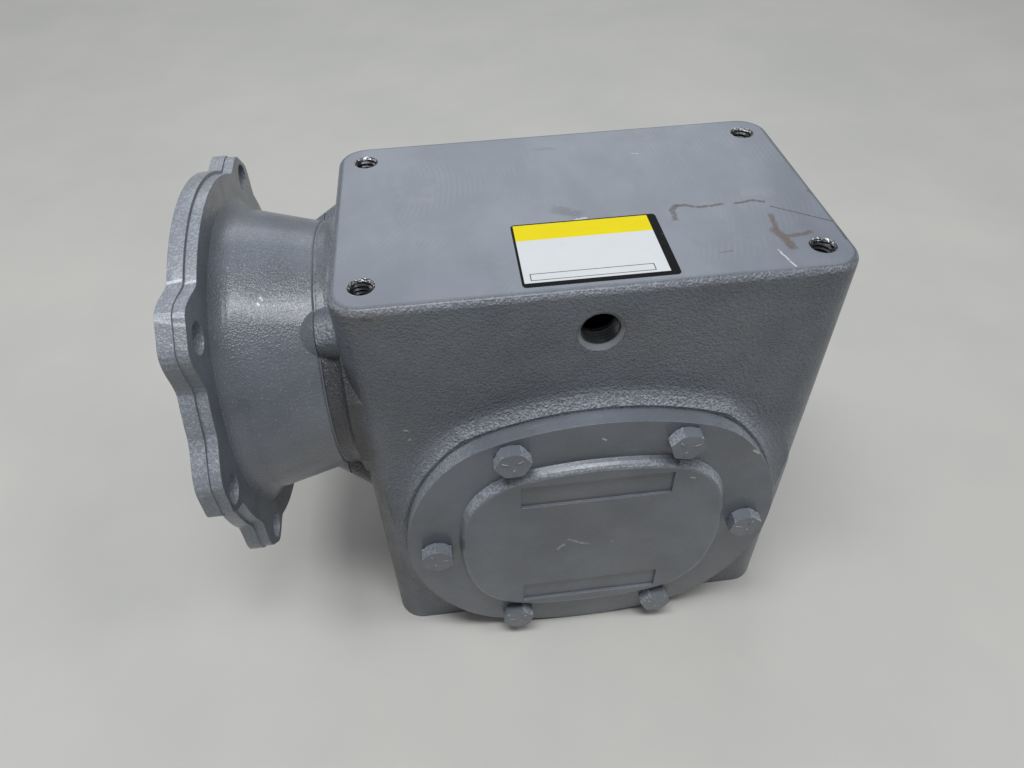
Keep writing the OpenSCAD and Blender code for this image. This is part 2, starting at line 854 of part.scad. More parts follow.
module end_bearing_inner() {
    color(steel) along_worm(end_bearing_x)
        ball_race_inner(end_journal_radius + fit_gap, end_outer_radius, end_width,
            end_ball_radius);
}

module end_bearing_outer() {
    color(steel) along_worm(end_bearing_x)
        ball_race_outer(end_journal_radius + fit_gap, end_outer_radius, end_width,
            end_ball_radius);
}

module end_bearing_balls() {
    color(steel) along_worm(end_bearing_x)
        ball_set(end_journal_radius + fit_gap, end_outer_radius, end_width,
            end_ball_radius, end_balls);
}

module end_bearing_cage() {
    color(bronze) along_worm(end_bearing_x)
        ball_cage(end_journal_radius + fit_gap, end_outer_radius, end_width,
            end_ball_radius, end_balls);
}

// Retaining rings, open at the bottom, and the blind end's plug
module open_ring(outer, inner, width) {
    gap = outer - inner;
    difference() {
        tube(outer, inner, width);
        translate([0, -gap / 2, -overrun]) cube([outer + overrun, gap, width + 2 * overrun]);
    }
}

module shaft_retaining_ring() {
    color(zinc) along_worm(input_bearing_x - shaft_ring_width)
        open_ring(shaft_ring_radius, quill_radius - shaft_ring_groove + fit_gap,
            shaft_ring_width);
}

module bore_retaining_ring() {
    color(zinc) along_worm(end_bearing_far)
        open_ring(bore_ring_radius - fit_gap, bore_ring_radius - bore_ring_depth,
            bore_ring_width);
}

module end_plug() {
    color(zinc) along_worm(half_length - plug_recess - plug_width) difference() {
        cylinder(h = plug_width, r = end_outer_radius);
        translate([0, 0, plug_wall])
            cylinder(h = plug_width, r = end_outer_radius - plug_wall);
    }
}

// Wheel: each slice is cleared by all that the worm's slice sweeps while both turn
function rack_x(y, depth, side) =
    lead * atan2(y, depth) / 360
        + side * (thread_half(norm([y, depth])) + flank_clearance);

function sweep_angle(y, radius, depth, side, way) =
    let (z = centre_distance - depth,
         x = way * sqrt(max(0, radius * radius - z * z)))
    atan2(x, z) - (x - rack_x(y, depth, side)) / wheel_pitch_radius * 180 / PI;

function swept_angle(y, radius, side) =
    let (low = centre_distance - radius, high = slice_bottom(y))
    side * max([for (i = [0 : sweep_samples], way = [-1, 1])
        side * sweep_angle(y, radius, low + (high - low) * i / sweep_samples, side, way)]);

function slice_land(y) =
    min(wheel_outer_radius, centre_distance - sqrt(throat_radius * throat_radius - y * y));

function slice_bottom(y) = sqrt(gullet_radius * gullet_radius - y * y);

function polar(radius, angle) = [radius * sin(angle), radius * cos(angle)];

// One space of the wheel in a slice, down its left flank and up its right one
function space_outline(y) =
    let (land = slice_land(y), root = centre_distance - slice_bottom(y),
         radii = [for (share = flank_shares) root + (land - root) * share],
         top = len(radii) - 1)
    concat(
        [for (i = [top : -1 : 0]) polar(radii[i], swept_angle(y, radii[i], -1))],
        [for (i = [0 : top]) polar(radii[i], swept_angle(y, radii[i], 1))]);

function turned(p, angle) =
    [p[0] * cos(angle) + p[1] * sin(angle), -p[0] * sin(angle) + p[1] * cos(angle)];

function slice_ring(y) =
    let (space = space_outline(y), pitch = 360 / wheel_teeth, land = slice_land(y),
         middle = (swept_angle(y, land, -1) + swept_angle(y, land, 1)) / 2)
    [for (k = [0 : wheel_teeth - 1])
        each concat([for (p = space) turned(p, k * pitch)],
            [polar(land, middle + (k + 1 / 2) * pitch)])];

module toothed_ring() {
    ys = [for (i = [0 : wheel_slices]) wheel_face * (i / wheel_slices - 1 / 2)];
    rings = [for (y = ys) slice_ring(y)];
    n = len(rings[0]);
    each_tooth = n / wheel_teeth;
    base = n * (wheel_slices + 1);
    outer = [for (s = [0 : wheel_slices], p = rings[s]) [p[0], ys[s], p[1]]];
    inner = [for (s = [0, wheel_slices], k = [0 : wheel_teeth - 1])
        let (p = turned([0, rim_core_radius], k * 360 / wheel_teeth))
        [p[0], ys[s], p[1]]];
    flanks = [for (s = [0 : wheel_slices - 1], j = [0 : n - 1])
        let (a = s * n + j, b = s * n + (j + 1) % n)
        each [[a, a + n, b + n], [a, b + n, b]]];
    bore = [for (k = [0 : wheel_teeth - 1])
        let (a = base + k, b = base + (k + 1) % wheel_teeth)
        each [[a, b, b + wheel_teeth], [a, b + wheel_teeth, a + wheel_teeth]]];
    caps = [for (end = [0, 1], k = [0 : wheel_teeth - 1])
        let (hub = base + end * wheel_teeth + k,
             next_hub = base + end * wheel_teeth + (k + 1) % wheel_teeth,
             first = end * wheel_slices * n)
        each concat(
            [for (j = [0 : each_tooth - 1])
                let (a = first + k * each_tooth + j,
                     b = first + (k * each_tooth + j + 1) % n)
                end == 0 ? [hub, a, b] : [hub, b, a]],
            [let (b = first + ((k + 1) * each_tooth) % n)
                end == 0 ? [hub, b, next_hub] : [hub, next_hub, b]])];
    polyhedron(concat(outer, inner), concat(flanks, bore, caps));
}

module worm_wheel() {
    color(bronze) translate([0, 0, output_height]) {
        toothed_ring();
        translate([0, -wheel_face / 2 - rim_lip, 0]) rotate([-90, 0, 0])
            tube(rim_tube_radius, rim_seat_radius, wheel_face + 2 * rim_lip);
    }
}

module wheel_key_shape() {
    translate([-wheel_key_width / 2, -wheel_key_length / 2,
            output_height + wheel_seat_radius - wheel_key_sink])
        cube([wheel_key_width, wheel_key_length, wheel_key_width]);
}

module wheel_hub() {
    color(iron) difference() {
        translate([0, 0, output_height]) rotate([-90, 0, 0]) difference() {
            union() {
                translate([0, 0, -hub_length / 2])
                    cylinder(h = hub_length, r = hub_radius);
                translate([0, 0, -wheel_face / 2 - rim_lip])
                    cylinder(h = wheel_face + 2 * rim_lip, r = rim_seat_radius - fit_gap);
            }
            translate([0, 0, -hub_length / 2 - overrun])
                cylinder(h = hub_length + 2 * overrun, r = wheel_seat_radius + fit_gap);
        }
        wheel_key_shape();
    }
}

module wheel_key() {
    color(steel) wheel_key_shape();
}

module output_shaft() {
    key_start = hub_face + output_length - output_key_length;
    color(steel) difference() {
        union() {
            cover_side(-1, hub_length / 2)
                cylinder(h = cup_back - shaft_end_gap - hub_length / 2, r = journal_radius);
            cover_side(1, -hub_length / 2)
                cylinder(h = hub_length, r = wheel_seat_radius);
            cover_side(1, hub_length / 2)
                cylinder(h = cone_back - hub_length / 2, r = collar_radius);
            cover_side(1, cone_back)
                cylinder(h = hub_face - cone_back, r = journal_radius);
            cover_side(1, hub_face)
                cylinder(h = output_length - shaft_chamfer, r = output_radius);
            cover_side(1, output_end - shaft_chamfer)
                cylinder(h = shaft_chamfer, r1 = output_radius,
                    r2 = output_radius - shaft_chamfer);
        }
        wheel_key_shape();
        translate([-output_key_width / 2, key_start,
                output_height + output_radius - output_key_depth])
            cube([output_key_width, output_key_length + overrun, output_radius]);
    }
}

module spacer_sleeve() {
    color(steel) cover_side(-1, hub_length / 2)
        tube(spacer_radius, journal_radius + fit_gap, cone_back - hub_length / 2);
}

// Taper roller bearings, built about Z from the back of the cone
half_roller = roller_length / 2;
roller_middle = taper_width / 2;
function roller_end(end, offset) =
    let (radius = roller_radius - end * half_roller * tan(roller_taper) + abs(offset),
         side = sign(offset))
    [roller_circle - end * half_roller * sin(roller_tilt) + side * radius * cos(roller_tilt),
     roller_middle + end * half_roller * cos(roller_tilt) + side * radius * sin(roller_tilt)];

function on_line(a, b, z) = a[0] + (b[0] - a[0]) * (z - a[1]) / (b[1] - a[1]);

module taper_cone() {
    a = roller_end(-1, -roller_gap);
    b = roller_end(1, -roller_gap);
    top = taper_width - cup_inset / 4;
    rotate_extrude()
        polygon([
            [journal_radius + fit_gap, 0], [rib_radius, 0], [rib_radius, rib_width],
            [on_line(a, b, rib_width), rib_width], [on_line(a, b, top), top],
            [journal_radius + fit_gap, top]
        ]);
}

module taper_cup() {
    a = roller_end(-1, roller_gap);
    b = roller_end(1, roller_gap);
    low = taper_width - cup_width;
    rotate_extrude()
        polygon([
            [cup_radius, low], [on_line(a, b, low), low],
            [on_line(a, b, taper_width), taper_width], [cup_radius, taper_width]
        ]);
}

module roller_shape(extra) {
    change = half_roller * tan(roller_taper);
    translate([0, 0, roller_middle]) rotate([0, -roller_tilt, 0])
        cylinder(h = roller_length + 2 * extra, r1 = roller_radius + change + extra,
            r2 = roller_radius - change + extra, center = true);
}

module taper_rollers() {
    ring_of(roller_count, roller_circle) roller_shape(0);
}

module taper_cage() {
    reach = half_roller + cage_reach;
    low = roller_middle - reach * cos(roller_tilt);
    high = roller_middle + reach * cos(roller_tilt);
    low_radius = roller_circle + reach * sin(roller_tilt);
    high_radius = roller_circle - reach * sin(roller_tilt);
    difference() {
        rotate_extrude()
            polygon([
                [low_radius - cage_thickness / 2, low], [low_radius + cage_thickness / 2, low],
                [high_radius + cage_thickness / 2, high],
                [high_radius - cage_thickness / 2, high]
            ]);
        ring_of(roller_count, roller_circle) roller_shape(roller_gap);
    }
}

module near_bearing_cone() {
    color(steel) cover_side(-1, cone_back) taper_cone();
}

module near_bearing_cup() {
    color(steel) cover_side(-1, cone_back) taper_cup();
}

module near_bearing_rollers() {
    color(steel) cover_side(-1, cone_back) taper_rollers();
}

module near_bearing_cage() {
    color(zinc) cover_side(-1, cone_back) taper_cage();
}

module far_bearing_cone() {
    color(steel) cover_side(1, cone_back) taper_cone();
}

module far_bearing_cup() {
    color(steel) cover_side(1, cone_back) taper_cup();
}

module far_bearing_rollers() {
    color(steel) cover_side(1, cone_back) taper_rollers();
}

module far_bearing_cage() {
    color(zinc) cover_side(1, cone_back) taper_cage();
}

// Covers: a flat-sided round plate, a spigot and a pocket for the bearing cup
module cover_plate(height) {
    brow = cover_brow - cover_flat;
    centre = turn_centre(cover_radius, cover_flat, cover_radius, cover_brow, cover_turn);
    outward = centre / (cover_radius - cover_turn);
    upward = (centre + [0, brow]) / (cover_brow - cover_turn);
    far = 2 * cover_radius;
    linear_extrude(height) {
        difference() {
            intersection() {
                circle(cover_radius);
                translate([0, -brow]) circle(cover_brow);
                translate([0, brow]) circle(cover_brow);
            }
            for (x = [0, 1], y = [0, 1]) mirror([x, 0]) mirror([0, y])
                polygon([centre, centre + far * outward,
                    centre + far * (outward + upward), centre + far * upward]);
        }
        for (x = [-1, 1], y = [-1, 1])
            translate([x * centre[0], y * centre[1]]) circle(cover_turn);
    }
}

module cover_inside() {
    translate([0, 0, -spigot_depth])
        cylinder(h = spigot_depth, r = opening_radius - running_gap);
    translate([0, 0, -cup_inset - cup_width])
        cylinder(h = cup_inset + cup_width, r = cup_tube_radius);
}

module cover_cuts() {
    translate([0, 0, -spigot_depth - overrun])
        tube(opening_radius - spigot_wall, cup_tube_radius,
            spigot_depth + overrun - spigot_floor);
    translate([0, 0, -cup_inset - cup_width - overrun])
        cylinder(h = cup_width + overrun, r = cup_radius + fit_gap);
    translate([0, 0, -cup_inset - overrun])
        cylinder(h = cup_inset + overrun, r = cup_relief_radius);
    ring_of(cover_bolts, cover_pcd / 2) translate([0, 0, -overrun])
        cylinder(h = cover_thickness + 2 * overrun, r = bolt_radius + bolt_hole_gap);
}

module pad() {
    foot = shoulder_slope;
    difference() {
        hull() for (i = [0 : shoulder_steps])
            let (a = foot + (90 - foot) * i / shoulder_steps,
                 inset = pad_shoulder * (1 - cos(a) / cos(foot)),
                 height = pad_height * (sin(a) - sin(foot)) / (1 - sin(foot)))
            translate([0, 0, height]) linear_extrude(pad_skin)
                polygon(oval_points(pad_half_width + pad_shoulder,
                    pad_half_height + pad_shoulder, pad_side, pad_brow,
                    pad_corner + pad_shoulder, inset));
        for (y = [-1, 1])
            translate([-recess_length / 2, y * recess_centre - recess_height / 2,
                    pad_height + pad_skin - recess_depth])
                cube([recess_length, recess_height, recess_depth + overrun]);
        for (a = [60, 120, 240, 300]) rotate(a)
            translate([cover_pcd / 2, 0, -overrun])
                cylinder(h = pad_height + pad_skin + 2 * overrun, r = scallop_radius);
    }
}

module closed_cover() {
    color(iron) cover_side(-1, cover_plane) difference() {
        union() {
            cover_plate(cover_thickness);
            cover_inside();
            translate([0, 0, cover_thickness - pad_skin]) pad();
        }
        cover_cuts();
    }
}

module open_cover() {
    seat = cover_thickness + cover_hub_rise - output_seal_width - seal_recess;
    color(iron) cover_side(1, cover_plane) difference() {
        union() {
            cover_plate(cover_thickness);
            cover_inside();
            rotate_extrude()
                polygon([
                    [0, 0], [cover_hub_radius + cover_hub_fillet, 0],
                    [cover_hub_radius + cover_hub_fillet, cover_thickness],
                    [cover_hub_radius, cover_thickness + cover_hub_fillet],
                    [cover_hub_radius, cover_thickness + cover_hub_rise],
                    [0, cover_thickness + cover_hub_rise]
                ]);
        }
        cover_cuts();
        translate([0, 0, -overrun])
            cylinder(h = cover_thickness + cover_hub_rise + 2 * overrun,
                r = journal_radius + shaft_clearance);
        translate([0, 0, seat])
            cylinder(h = output_seal_width + seal_recess + overrun,
                r = output_seal_radius + fit_gap);
    }
}

module cover_shims(side) {
    color(paper) cover_side(side, half_depth + boss_height) difference() {
        cover_plate(shim);
        translate([0, 0, -overrun]) cylinder(h = shim + 2 * overrun, r = opening_radius);
        ring_of(cover_bolts, cover_pcd / 2) translate([0, 0, -overrun])
            cylinder(h = shim + 2 * overrun, r = bolt_radius + bolt_hole_gap);
    }
}

module closed_cover_shims() {
    cover_shims(-1);
}

module open_cover_shims() {
    cover_shims(1);
}

// Hexagon bolt, head up, measured from the face it bears on
module hex_bolt() {
    corner = bolt_flats / 2 / cos(30);
    intersection() {
        cylinder(h = bolt_head, r = corner, $fn = 6);
        union() {
            cylinder(h = washer_face, r = bolt_flats / 2);
            translate([0, 0, washer_face])
                cylinder(h = bolt_head - 2 * washer_face, r = corner + overrun);
            translate([0, 0, bolt_head - washer_face])
                cylinder(h = washer_face, r1 = corner, r2 = corner * head_chamfer_share);
        }
    }
    translate([0, 0, -bolt_length]) cylinder(h = bolt_length, r = bolt_radius);
}

module cover_bolt_set(side) {
    turns = [20, 48, 5, 33, 12, 55];
    color(iron) cover_side(side, cover_plane + cover_thickness)
        for (i = [0 : cover_bolts - 1]) rotate(i * 360 / cover_bolts)
            translate([cover_pcd / 2, 0, 0]) rotate(turns[i]) hex_bolt();
}

module closed_cover_bolts() {
    cover_bolt_set(-1);
}

module open_cover_bolts() {
    cover_bolt_set(1);
}

module output_seal() {
    color(rubber) cover_side(1, hub_face - output_seal_width - seal_recess)
        lip_seal(journal_radius, output_seal_radius, output_seal_width);
}

// Pipe plugs, sunk a little below the wall
module pipe_plug() {
    translate([0, 0, -plug_seat - plug_length]) difference() {
        cylinder(h = plug_length, r = port_radius - fit_gap);
        translate([-plug_socket / 2, -plug_socket / 2, plug_length - plug_socket_depth])
            cube([plug_socket, plug_socket, plug_socket_depth + overrun]);
    }
}

module pipe_plugs() {
    color(zinc) {
        fill_frame(1) pipe_plug();
        drain_frame() pipe_plug();
    }
}

housing();
input_flange();
flange_gasket();
flange_screws();
input_seal();
worm_shaft();
input_bearing_inner();
input_bearing_outer();
input_bearing_balls();
input_bearing_cage();
shaft_retaining_ring();
end_bearing_inner();
end_bearing_outer();
end_bearing_balls();
end_bearing_cage();
bore_retaining_ring();
end_plug();
worm_wheel();
wheel_hub();
wheel_key();
output_shaft();
spacer_sleeve();
near_bearing_cone();
near_bearing_cup();
near_bearing_rollers();
near_bearing_cage();
far_bearing_cone();
far_bearing_cup();
far_bearing_rollers();
far_bearing_cage();
closed_cover();
closed_cover_shims();
closed_cover_bolts();
open_cover();
open_cover_shims();
open_cover_bolts();
output_seal();
pipe_plugs();
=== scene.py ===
"""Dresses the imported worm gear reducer: enamel, machined faces, threads, label and studio.

The reducer stands on its base. X runs along the worm, Y along the output shaft, Z up.
Sizes are in millimetres, and only the studio's are in metres.
"""

import json
import logging
import math
from dataclasses import dataclass
from enum import Enum

import bmesh
import bpy
from mathutils import Matrix, Vector

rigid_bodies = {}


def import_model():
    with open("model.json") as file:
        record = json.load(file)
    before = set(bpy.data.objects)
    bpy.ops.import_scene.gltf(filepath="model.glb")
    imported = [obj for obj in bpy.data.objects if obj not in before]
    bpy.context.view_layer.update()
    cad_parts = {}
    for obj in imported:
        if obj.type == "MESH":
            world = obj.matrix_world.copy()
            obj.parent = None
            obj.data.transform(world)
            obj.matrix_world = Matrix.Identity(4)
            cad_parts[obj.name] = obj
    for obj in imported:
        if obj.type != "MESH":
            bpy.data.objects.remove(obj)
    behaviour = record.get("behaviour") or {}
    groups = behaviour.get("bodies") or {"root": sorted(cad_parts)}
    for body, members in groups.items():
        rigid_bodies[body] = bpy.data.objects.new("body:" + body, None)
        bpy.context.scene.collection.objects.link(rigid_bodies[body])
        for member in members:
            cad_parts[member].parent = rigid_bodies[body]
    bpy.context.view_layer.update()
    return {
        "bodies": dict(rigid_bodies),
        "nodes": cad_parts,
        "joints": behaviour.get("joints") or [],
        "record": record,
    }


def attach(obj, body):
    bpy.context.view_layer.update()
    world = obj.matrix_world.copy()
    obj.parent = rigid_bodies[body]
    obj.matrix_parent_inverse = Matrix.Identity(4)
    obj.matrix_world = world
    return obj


MM = 0.001
LOG = logging.getLogger("reducer")
CASING = "casing"  # the body that carries every added piece

Socket = bpy.types.NodeSocket
Tint = tuple[float, float, float]
Point = tuple[float, float, float]
Spot = tuple[float, float]
Band = tuple[float, float]


class Side(Enum):
    """The outer faces that carry marks."""

    TOP = "top"
    FRONT = "front"


class Slot(Enum):
    """The record's material slots, by name."""

    ENAMEL = "painted_iron"
    BOLTS = "painted_bolts"
    BLACK = "black_steel"


def srgb(red: float, green: float, blue: float) -> Tint:
    """Turns a display colour into linear light.

    Args:
        red: Red as shown on a screen, 0 to 255.
        green: Green, 0 to 255.
        blue: Blue, 0 to 255.

    Returns:
        The same colour in linear light.
    """
    out = []
    for value in (red, green, blue):
        share = value / 255
        out.append(share / 12.92 if share <= 0.04045 else ((share + 0.055) / 1.055) ** 2.4)
    return (out[0], out[1], out[2])


def scaled(share: float, tint: Tint) -> Tint:
    """Returns a darker or lighter tint."""
    return (share * tint[0], share * tint[1], share * tint[2])


@dataclass(frozen=True)
class Mottle:
    """A smooth noise pattern, and the band of its values that shows.

    Attributes:
        size: Width of its main blobs.
        octaves: Octaves of finer noise.
        rough: How strongly each finer octave counts.
        low: Noise value where the pattern is 0.
        high: Noise value where the pattern is 1.
        stretch: Scale of each direction.
        twist: How far it is warped.
        share: How much of the band's full value shows.
    """

    size: float
    octaves: float = 3
    rough: float = 0.5
    low: float = 0.3
    high: float = 0.7
    stretch: Point = (1, 1, 1)
    twist: float = 0
    share: float = 1


# Enamel: its colour, painted glints, gloss and skin
GREY, DUSTY, GLINT_TINT = srgb(110, 115, 124), srgb(120, 117, 112), srgb(168, 172, 180)
CLOUDS = Mottle(34, 4, 0.55, 0.32, 0.68)
DUST = Mottle(52, 5, 0.6, 0.52, 0.74, twist=0.4, share=0.4)
GLINT_SPECKS = Mottle(0.55, 2, 0.6, 0.62, 0.72)
PORES = Mottle(1.6, 2, 0.5, 0.30, 0.24, share=0.35)
GLOSS = Mottle(9, 4, 0.6)
SKIN = Mottle(0.45, 2, 0.6)
FILM_DARK, FILM_PALE, PORE_DARK, GLINT_SHARE = 0.84, 1.14, 0.55, 1.6
COAT_ROUGH, MARK_ROUGH, METAL_ROUGH = 0.21, 0.62, 0.3
SKIN_DEPTH, ARC_DEPTH, SWELL_DEPTH = 0.02, 0.015, 0.05

# Orange peel: widths in grains, and how much each layer adds
LUMP_WIDTH, HEAVE_WIDTH = 1.5, 6
PEBBLE_SOFT, PEBBLE_SHARE, HEAVE_SHARE = 0.35, 0.5, 0.5
PEBBLE_ROUND: Band = (0.75, 0.05)

# Machined faces
CUT_DARK, CUT_PALE = srgb(113, 118, 128), srgb(123, 128, 138)
CUT_RUBBED, CUT_ARCS = srgb(140, 142, 146), srgb(146, 150, 158)
CUT_SHEEN = Mottle(26, 4, 0.55, 0.35, 0.65, (1, 0.5, 1), 0.3)
CUT_WEAR = Mottle(30, 6, 0.72, 0.56, 0.72, share=0.35)
CUT_GLOSS = Mottle(12, 4, 0.6)
CUT_SWELL = Mottle(5, 4, 0.6)
CUT_DULL: Band = (0.36, 0.52)
ARCS_SHOWN = Mottle(30, 4, 0.6, 0.5, 0.64, twist=0.8)
ARCS_MIDDLE = (0.13, -0.02, 0)
ARCS_WAVE = {"Scale": 150, "Distortion": 2.5, "Detail": 1.0, "Detail Scale": 0.4}
ARCS_SHARE = 0.17

# Wear, painted highlights, painted shade and bare metal
RIM_HIGHLIGHT_TINT, LEDGE_HIGHLIGHT_TINT, CORNER_SHADE_TINT = srgb(176, 180, 188), srgb(196, 200, 208), srgb(52, 49, 50)
MOUTH_TINT, BARE_DARK, BARE_PALE = srgb(124, 126, 131), srgb(86, 86, 88), srgb(178, 179, 182)
RIM_SPECKS = Mottle(1.0, 3, 0.7, 0.46, 0.66)
LEDGE_SPECKS = Mottle(1.0, 3, 0.7, 0.4, 0.62)
BARE_SPECKS = Mottle(1.1, 4, 0.7)
MOUTH_EDGE = Mottle(1.5, 3, 0.6)
BARE_EDGE = Mottle(1.3, 3, 0.6)
MARK_EDGE = Mottle(3.5, 4, 0.65)
MARK_FRAY = Mottle(0.9, 3, 0.7, 0.34, 0.44)
MARK_CORE, BROW_SHARE, CORNER_SHADE_SHARE = 0.35, 0.35, 0.82
RIM_LIT_AND_WORN: Band = (0.3, 0.8)
LEDGE_LIT_AND_WORN: Band = (0.25, 1.0)
MOUTH_STRAY, BARE_STRAY, CORNER_SHADE_STRAY = 0.5, 1.6, 12

# Part of the surface's direction where a face starts to count and counts in full
LEVEL_FACE: Band = (0.93, 0.985)
TOP_FACE: Band = (0.9, 0.97)
FRONT_FACE: Band = (-0.8, -0.95)
LEDGE_RISE: Band = (0.08, 0.42)
LEDGE_LEVELS: Band = (0.98, 0.7)
RIM_ROUND: Band = (0.75, 0.35)
RIM_UP: Band = (-0.5, 0.75)

# Distance from an edge where a finish starts and counts in full
TOP_CUT: Band = (-0.4, -0.1)
BASE_CUT: Band = (0.4, 0.1)
RIM_NEAR: Band = (0, 0.5)
RIM_FAR: Band = (0, -0.5)
BROW: Band = (-12, -5)
CORNER_SHADE_SIDE: Band = (6, -2)
CORNER_SHADE_TOP: Band = (3, -9)
PORT_EDGE: Band = (0.2, -0.1)
HOLE_EDGE: Band = (1.1, 0.7)


class Shader:
    """Builds one node material, with a call for each kind of node."""

    def __init__(self, name: str) -> None:
        """Starts an empty material.

        Args:
            name: The material's name.
        """
        self.material = bpy.data.materials.new(name)
        self.material.use_nodes = True
        tree = self.material.node_tree
        self.nodes, self.links = tree.nodes, tree.links
        self.nodes.clear()
        output = self.nodes.new("ShaderNodeOutputMaterial")
        self.surface = self.nodes.new("ShaderNodeBsdfPrincipled")
        self.links.new(self.surface.outputs[0], output.inputs["Surface"])
        self.place = self.nodes.new("ShaderNodeTexCoord").outputs["Object"]
        self.facing = self.nodes.new("ShaderNodeNewGeometry").outputs["Normal"]

    def feed(self, socket: Socket, value: Socket | float | Tint) -> None:
        """Links a socket, or sets its constant.

        Args:
            socket: The input that is fed.
            value: Another node's output, a number or a colour.
        """
        if isinstance(value, bpy.types.NodeSocket):
            self.links.new(value, socket)
        elif isinstance(value, tuple) and socket.type == "RGBA":
            socket.default_value = (*value, 1.0)
        else:
            socket.default_value = value

    def set(self, name: str, value: Socket | float | Tint) -> None:
        """Feeds one input of the surface shader."""
        self.feed(self.surface.inputs[name], value)

    def math(self, kind: str, *values: Socket | float) -> Socket:
        """Adds a maths node and returns its result.

        Args:
            kind: Blender's name for the operation.
            values: Its inputs, in order.

        Returns:
            The result's socket.
        """
        node = self.nodes.new("ShaderNodeMath")
        node.operation = kind
        for socket, value in zip(node.inputs, values):
            self.feed(socket, value)
        return node.outputs[0]

    def times(self, *values: Socket | float) -> Socket:
        """Multiplies two or more values.

        Args:
            values: A socket, then sockets or numbers.

        Returns:
            The product's socket.
        """
        product = values[0]
        for value in values[1:]:
            product = self.math("MULTIPLY", product, value)
        return product

    def rest_of(self, share: Socket) -> Socket:
        """Returns what a share leaves of one."""
        return self.math("SUBTRACT", 1.0, share)

    def split(self, vector: Socket) -> tuple[Socket, Socket, Socket]:
        """Returns the three parts of a vector.

        Args:
            vector: The vector's socket.

        Returns:
            Its X, Y and Z sockets.
        """
        node = self.nodes.new("ShaderNodeSeparateXYZ")
        self.feed(node.inputs[0], vector)
        return node.outputs[0], node.outputs[1], node.outputs[2]

    def noise(self, mottle: Mottle) -> Socket:
        """Adds smooth noise, about 0.5 on average.

        Args:
            mottle: Its pattern.

        Returns:
            The noise value's socket.
        """
        spread = self.nodes.new("ShaderNodeMapping")
        self.feed(spread.inputs["Vector"], self.place)
        spread.inputs["Scale"].default_value = mottle.stretch
        node = self.nodes.new("ShaderNodeTexNoise")
        self.feed(node.inputs["Vector"], spread.outputs[0])
        node.inputs["Scale"].default_value = 1 / (mottle.size * MM)
        node.inputs["Detail"].default_value = mottle.octaves
        node.inputs["Roughness"].default_value = mottle.rough
        node.inputs["Distortion"].default_value = mottle.twist
        return node.outputs[0]

    def patches(self, mottle: Mottle) -> Socket:
        """Returns noise cut to its pattern's band, from 0 to its share."""
        shown = self.step(self.noise(mottle), mottle.low, mottle.high)
        return shown if mottle.share == 1 else self.times(shown, mottle.share)

    def stray(self, mottle: Mottle, swing: float) -> Socket:
        """Returns noise about zero, its full swing in millimetres."""
        return self.times(self.math("SUBTRACT", self.noise(mottle), 0.5), swing * MM)

    def cells(self, size: float, soft: float) -> Socket:
        """Adds rounded cells, 0 at their centres.

        Args:
            size: Width of a cell.
            soft: How smoothly the cells blend.

        Returns:
            The distance's socket.
        """
        node = self.nodes.new("ShaderNodeTexVoronoi")
        node.feature = "SMOOTH_F1"
        self.feed(node.inputs["Vector"], self.place)
        node.inputs["Scale"].default_value = 1 / (size * MM)
        node.inputs["Smoothness"].default_value = soft
        return node.outputs["Distance"]

    def step(self, value: Socket, low: float, high: float) -> Socket:
        """Rises smoothly from 0 at low to 1 at high, or falls if low is above high.

        Args:
            value: What is compared.
            low: Where the result is 0.
            high: Where the result is 1.

        Returns:
            The share's socket.
        """
        node = self.nodes.new("ShaderNodeMapRange")
        node.interpolation_type = "SMOOTHSTEP"
        self.feed(node.inputs["Value"], value)
        node.inputs["From Min"].default_value = min(low, high)
        node.inputs["From Max"].default_value = max(low, high)
        node.inputs["To Min"].default_value = 0 if low < high else 1
        node.inputs["To Max"].default_value = 1 if low < high else 0
        return node.outputs[0]

    def span(self, value: Socket, low: float, high: float) -> Socket:
        """Steps between two places or lengths in millimetres."""
        return self.step(value, low * MM, high * MM)

    def edge(self, value: Socket, place: float, band: Band) -> Socket:
        """Steps over a band that is given from a place on."""
        return self.span(value, place + band[0], place + band[1])

    def blend(self, share: Socket | float, low: Socket | Tint, high: Socket | Tint) -> Socket:
        """Mixes two colours.

        Args:
            share: 0 gives the low colour, 1 the high one.
            low: First colour.
            high: Second colour.

        Returns:
            The mixed colour's socket.
        """
        node = self.nodes.new("ShaderNodeMix")
        node.data_type = "RGBA"
        for index, value in ((0, share), (6, low), (7, high)):
            self.feed(node.inputs[index], value)
        return node.outputs[2]

    def lerp(self, share: Socket | float, low: Socket | float, high: Socket | float) -> Socket:
        """Mixes two numbers.

        Args:
            share: 0 gives the low number, 1 the high one.
            low: First number.
            high: Second number.

        Returns:
            The mixed number's socket.
        """
        node = self.nodes.new("ShaderNodeMix")
        for index, value in ((0, share), (2, low), (3, high)):
            self.feed(node.inputs[index], value)
        return node.outputs[0]

    def apart(self, value: Socket, middle: float, mirrored: bool = False) -> Socket:
        """Measures how far a coordinate is from a place.

        Args:
            value: The coordinate.
            middle: The place.
            mirrored: Whether its mirror image across the middle plane counts too.

        Returns:
            The distance's socket, with its sign.
        """
        if mirrored:
            value = self.math("ABSOLUTE", value)
        return self.math("SUBTRACT", value, middle * MM)

    def away(self, first: Socket, second: Socket) -> Socket:
        """Joins two distances at right angles into one."""
        squares = self.math("ADD", self.times(first, first), self.times(second, second))
        return self.math("SQRT", squares)

    def bump(self, height: Socket, depth: float, strength: float = 1) -> None:
        """Adds one layer of relief to the surface.

        Args:
            height: Relief between 0 and 1.
            depth: Its full depth.
            strength: How much of it shows.
        """
        node = self.nodes.new("ShaderNodeBump")
        self.feed(node.inputs["Height"], height)
        node.inputs["Distance"].default_value = depth * MM
        node.inputs["Strength"].default_value = strength
        normal = self.surface.inputs["Normal"]
        if normal.links:
            self.links.new(normal.links[0].from_socket, node.inputs["Normal"])
        self.links.new(node.outputs[0], normal)


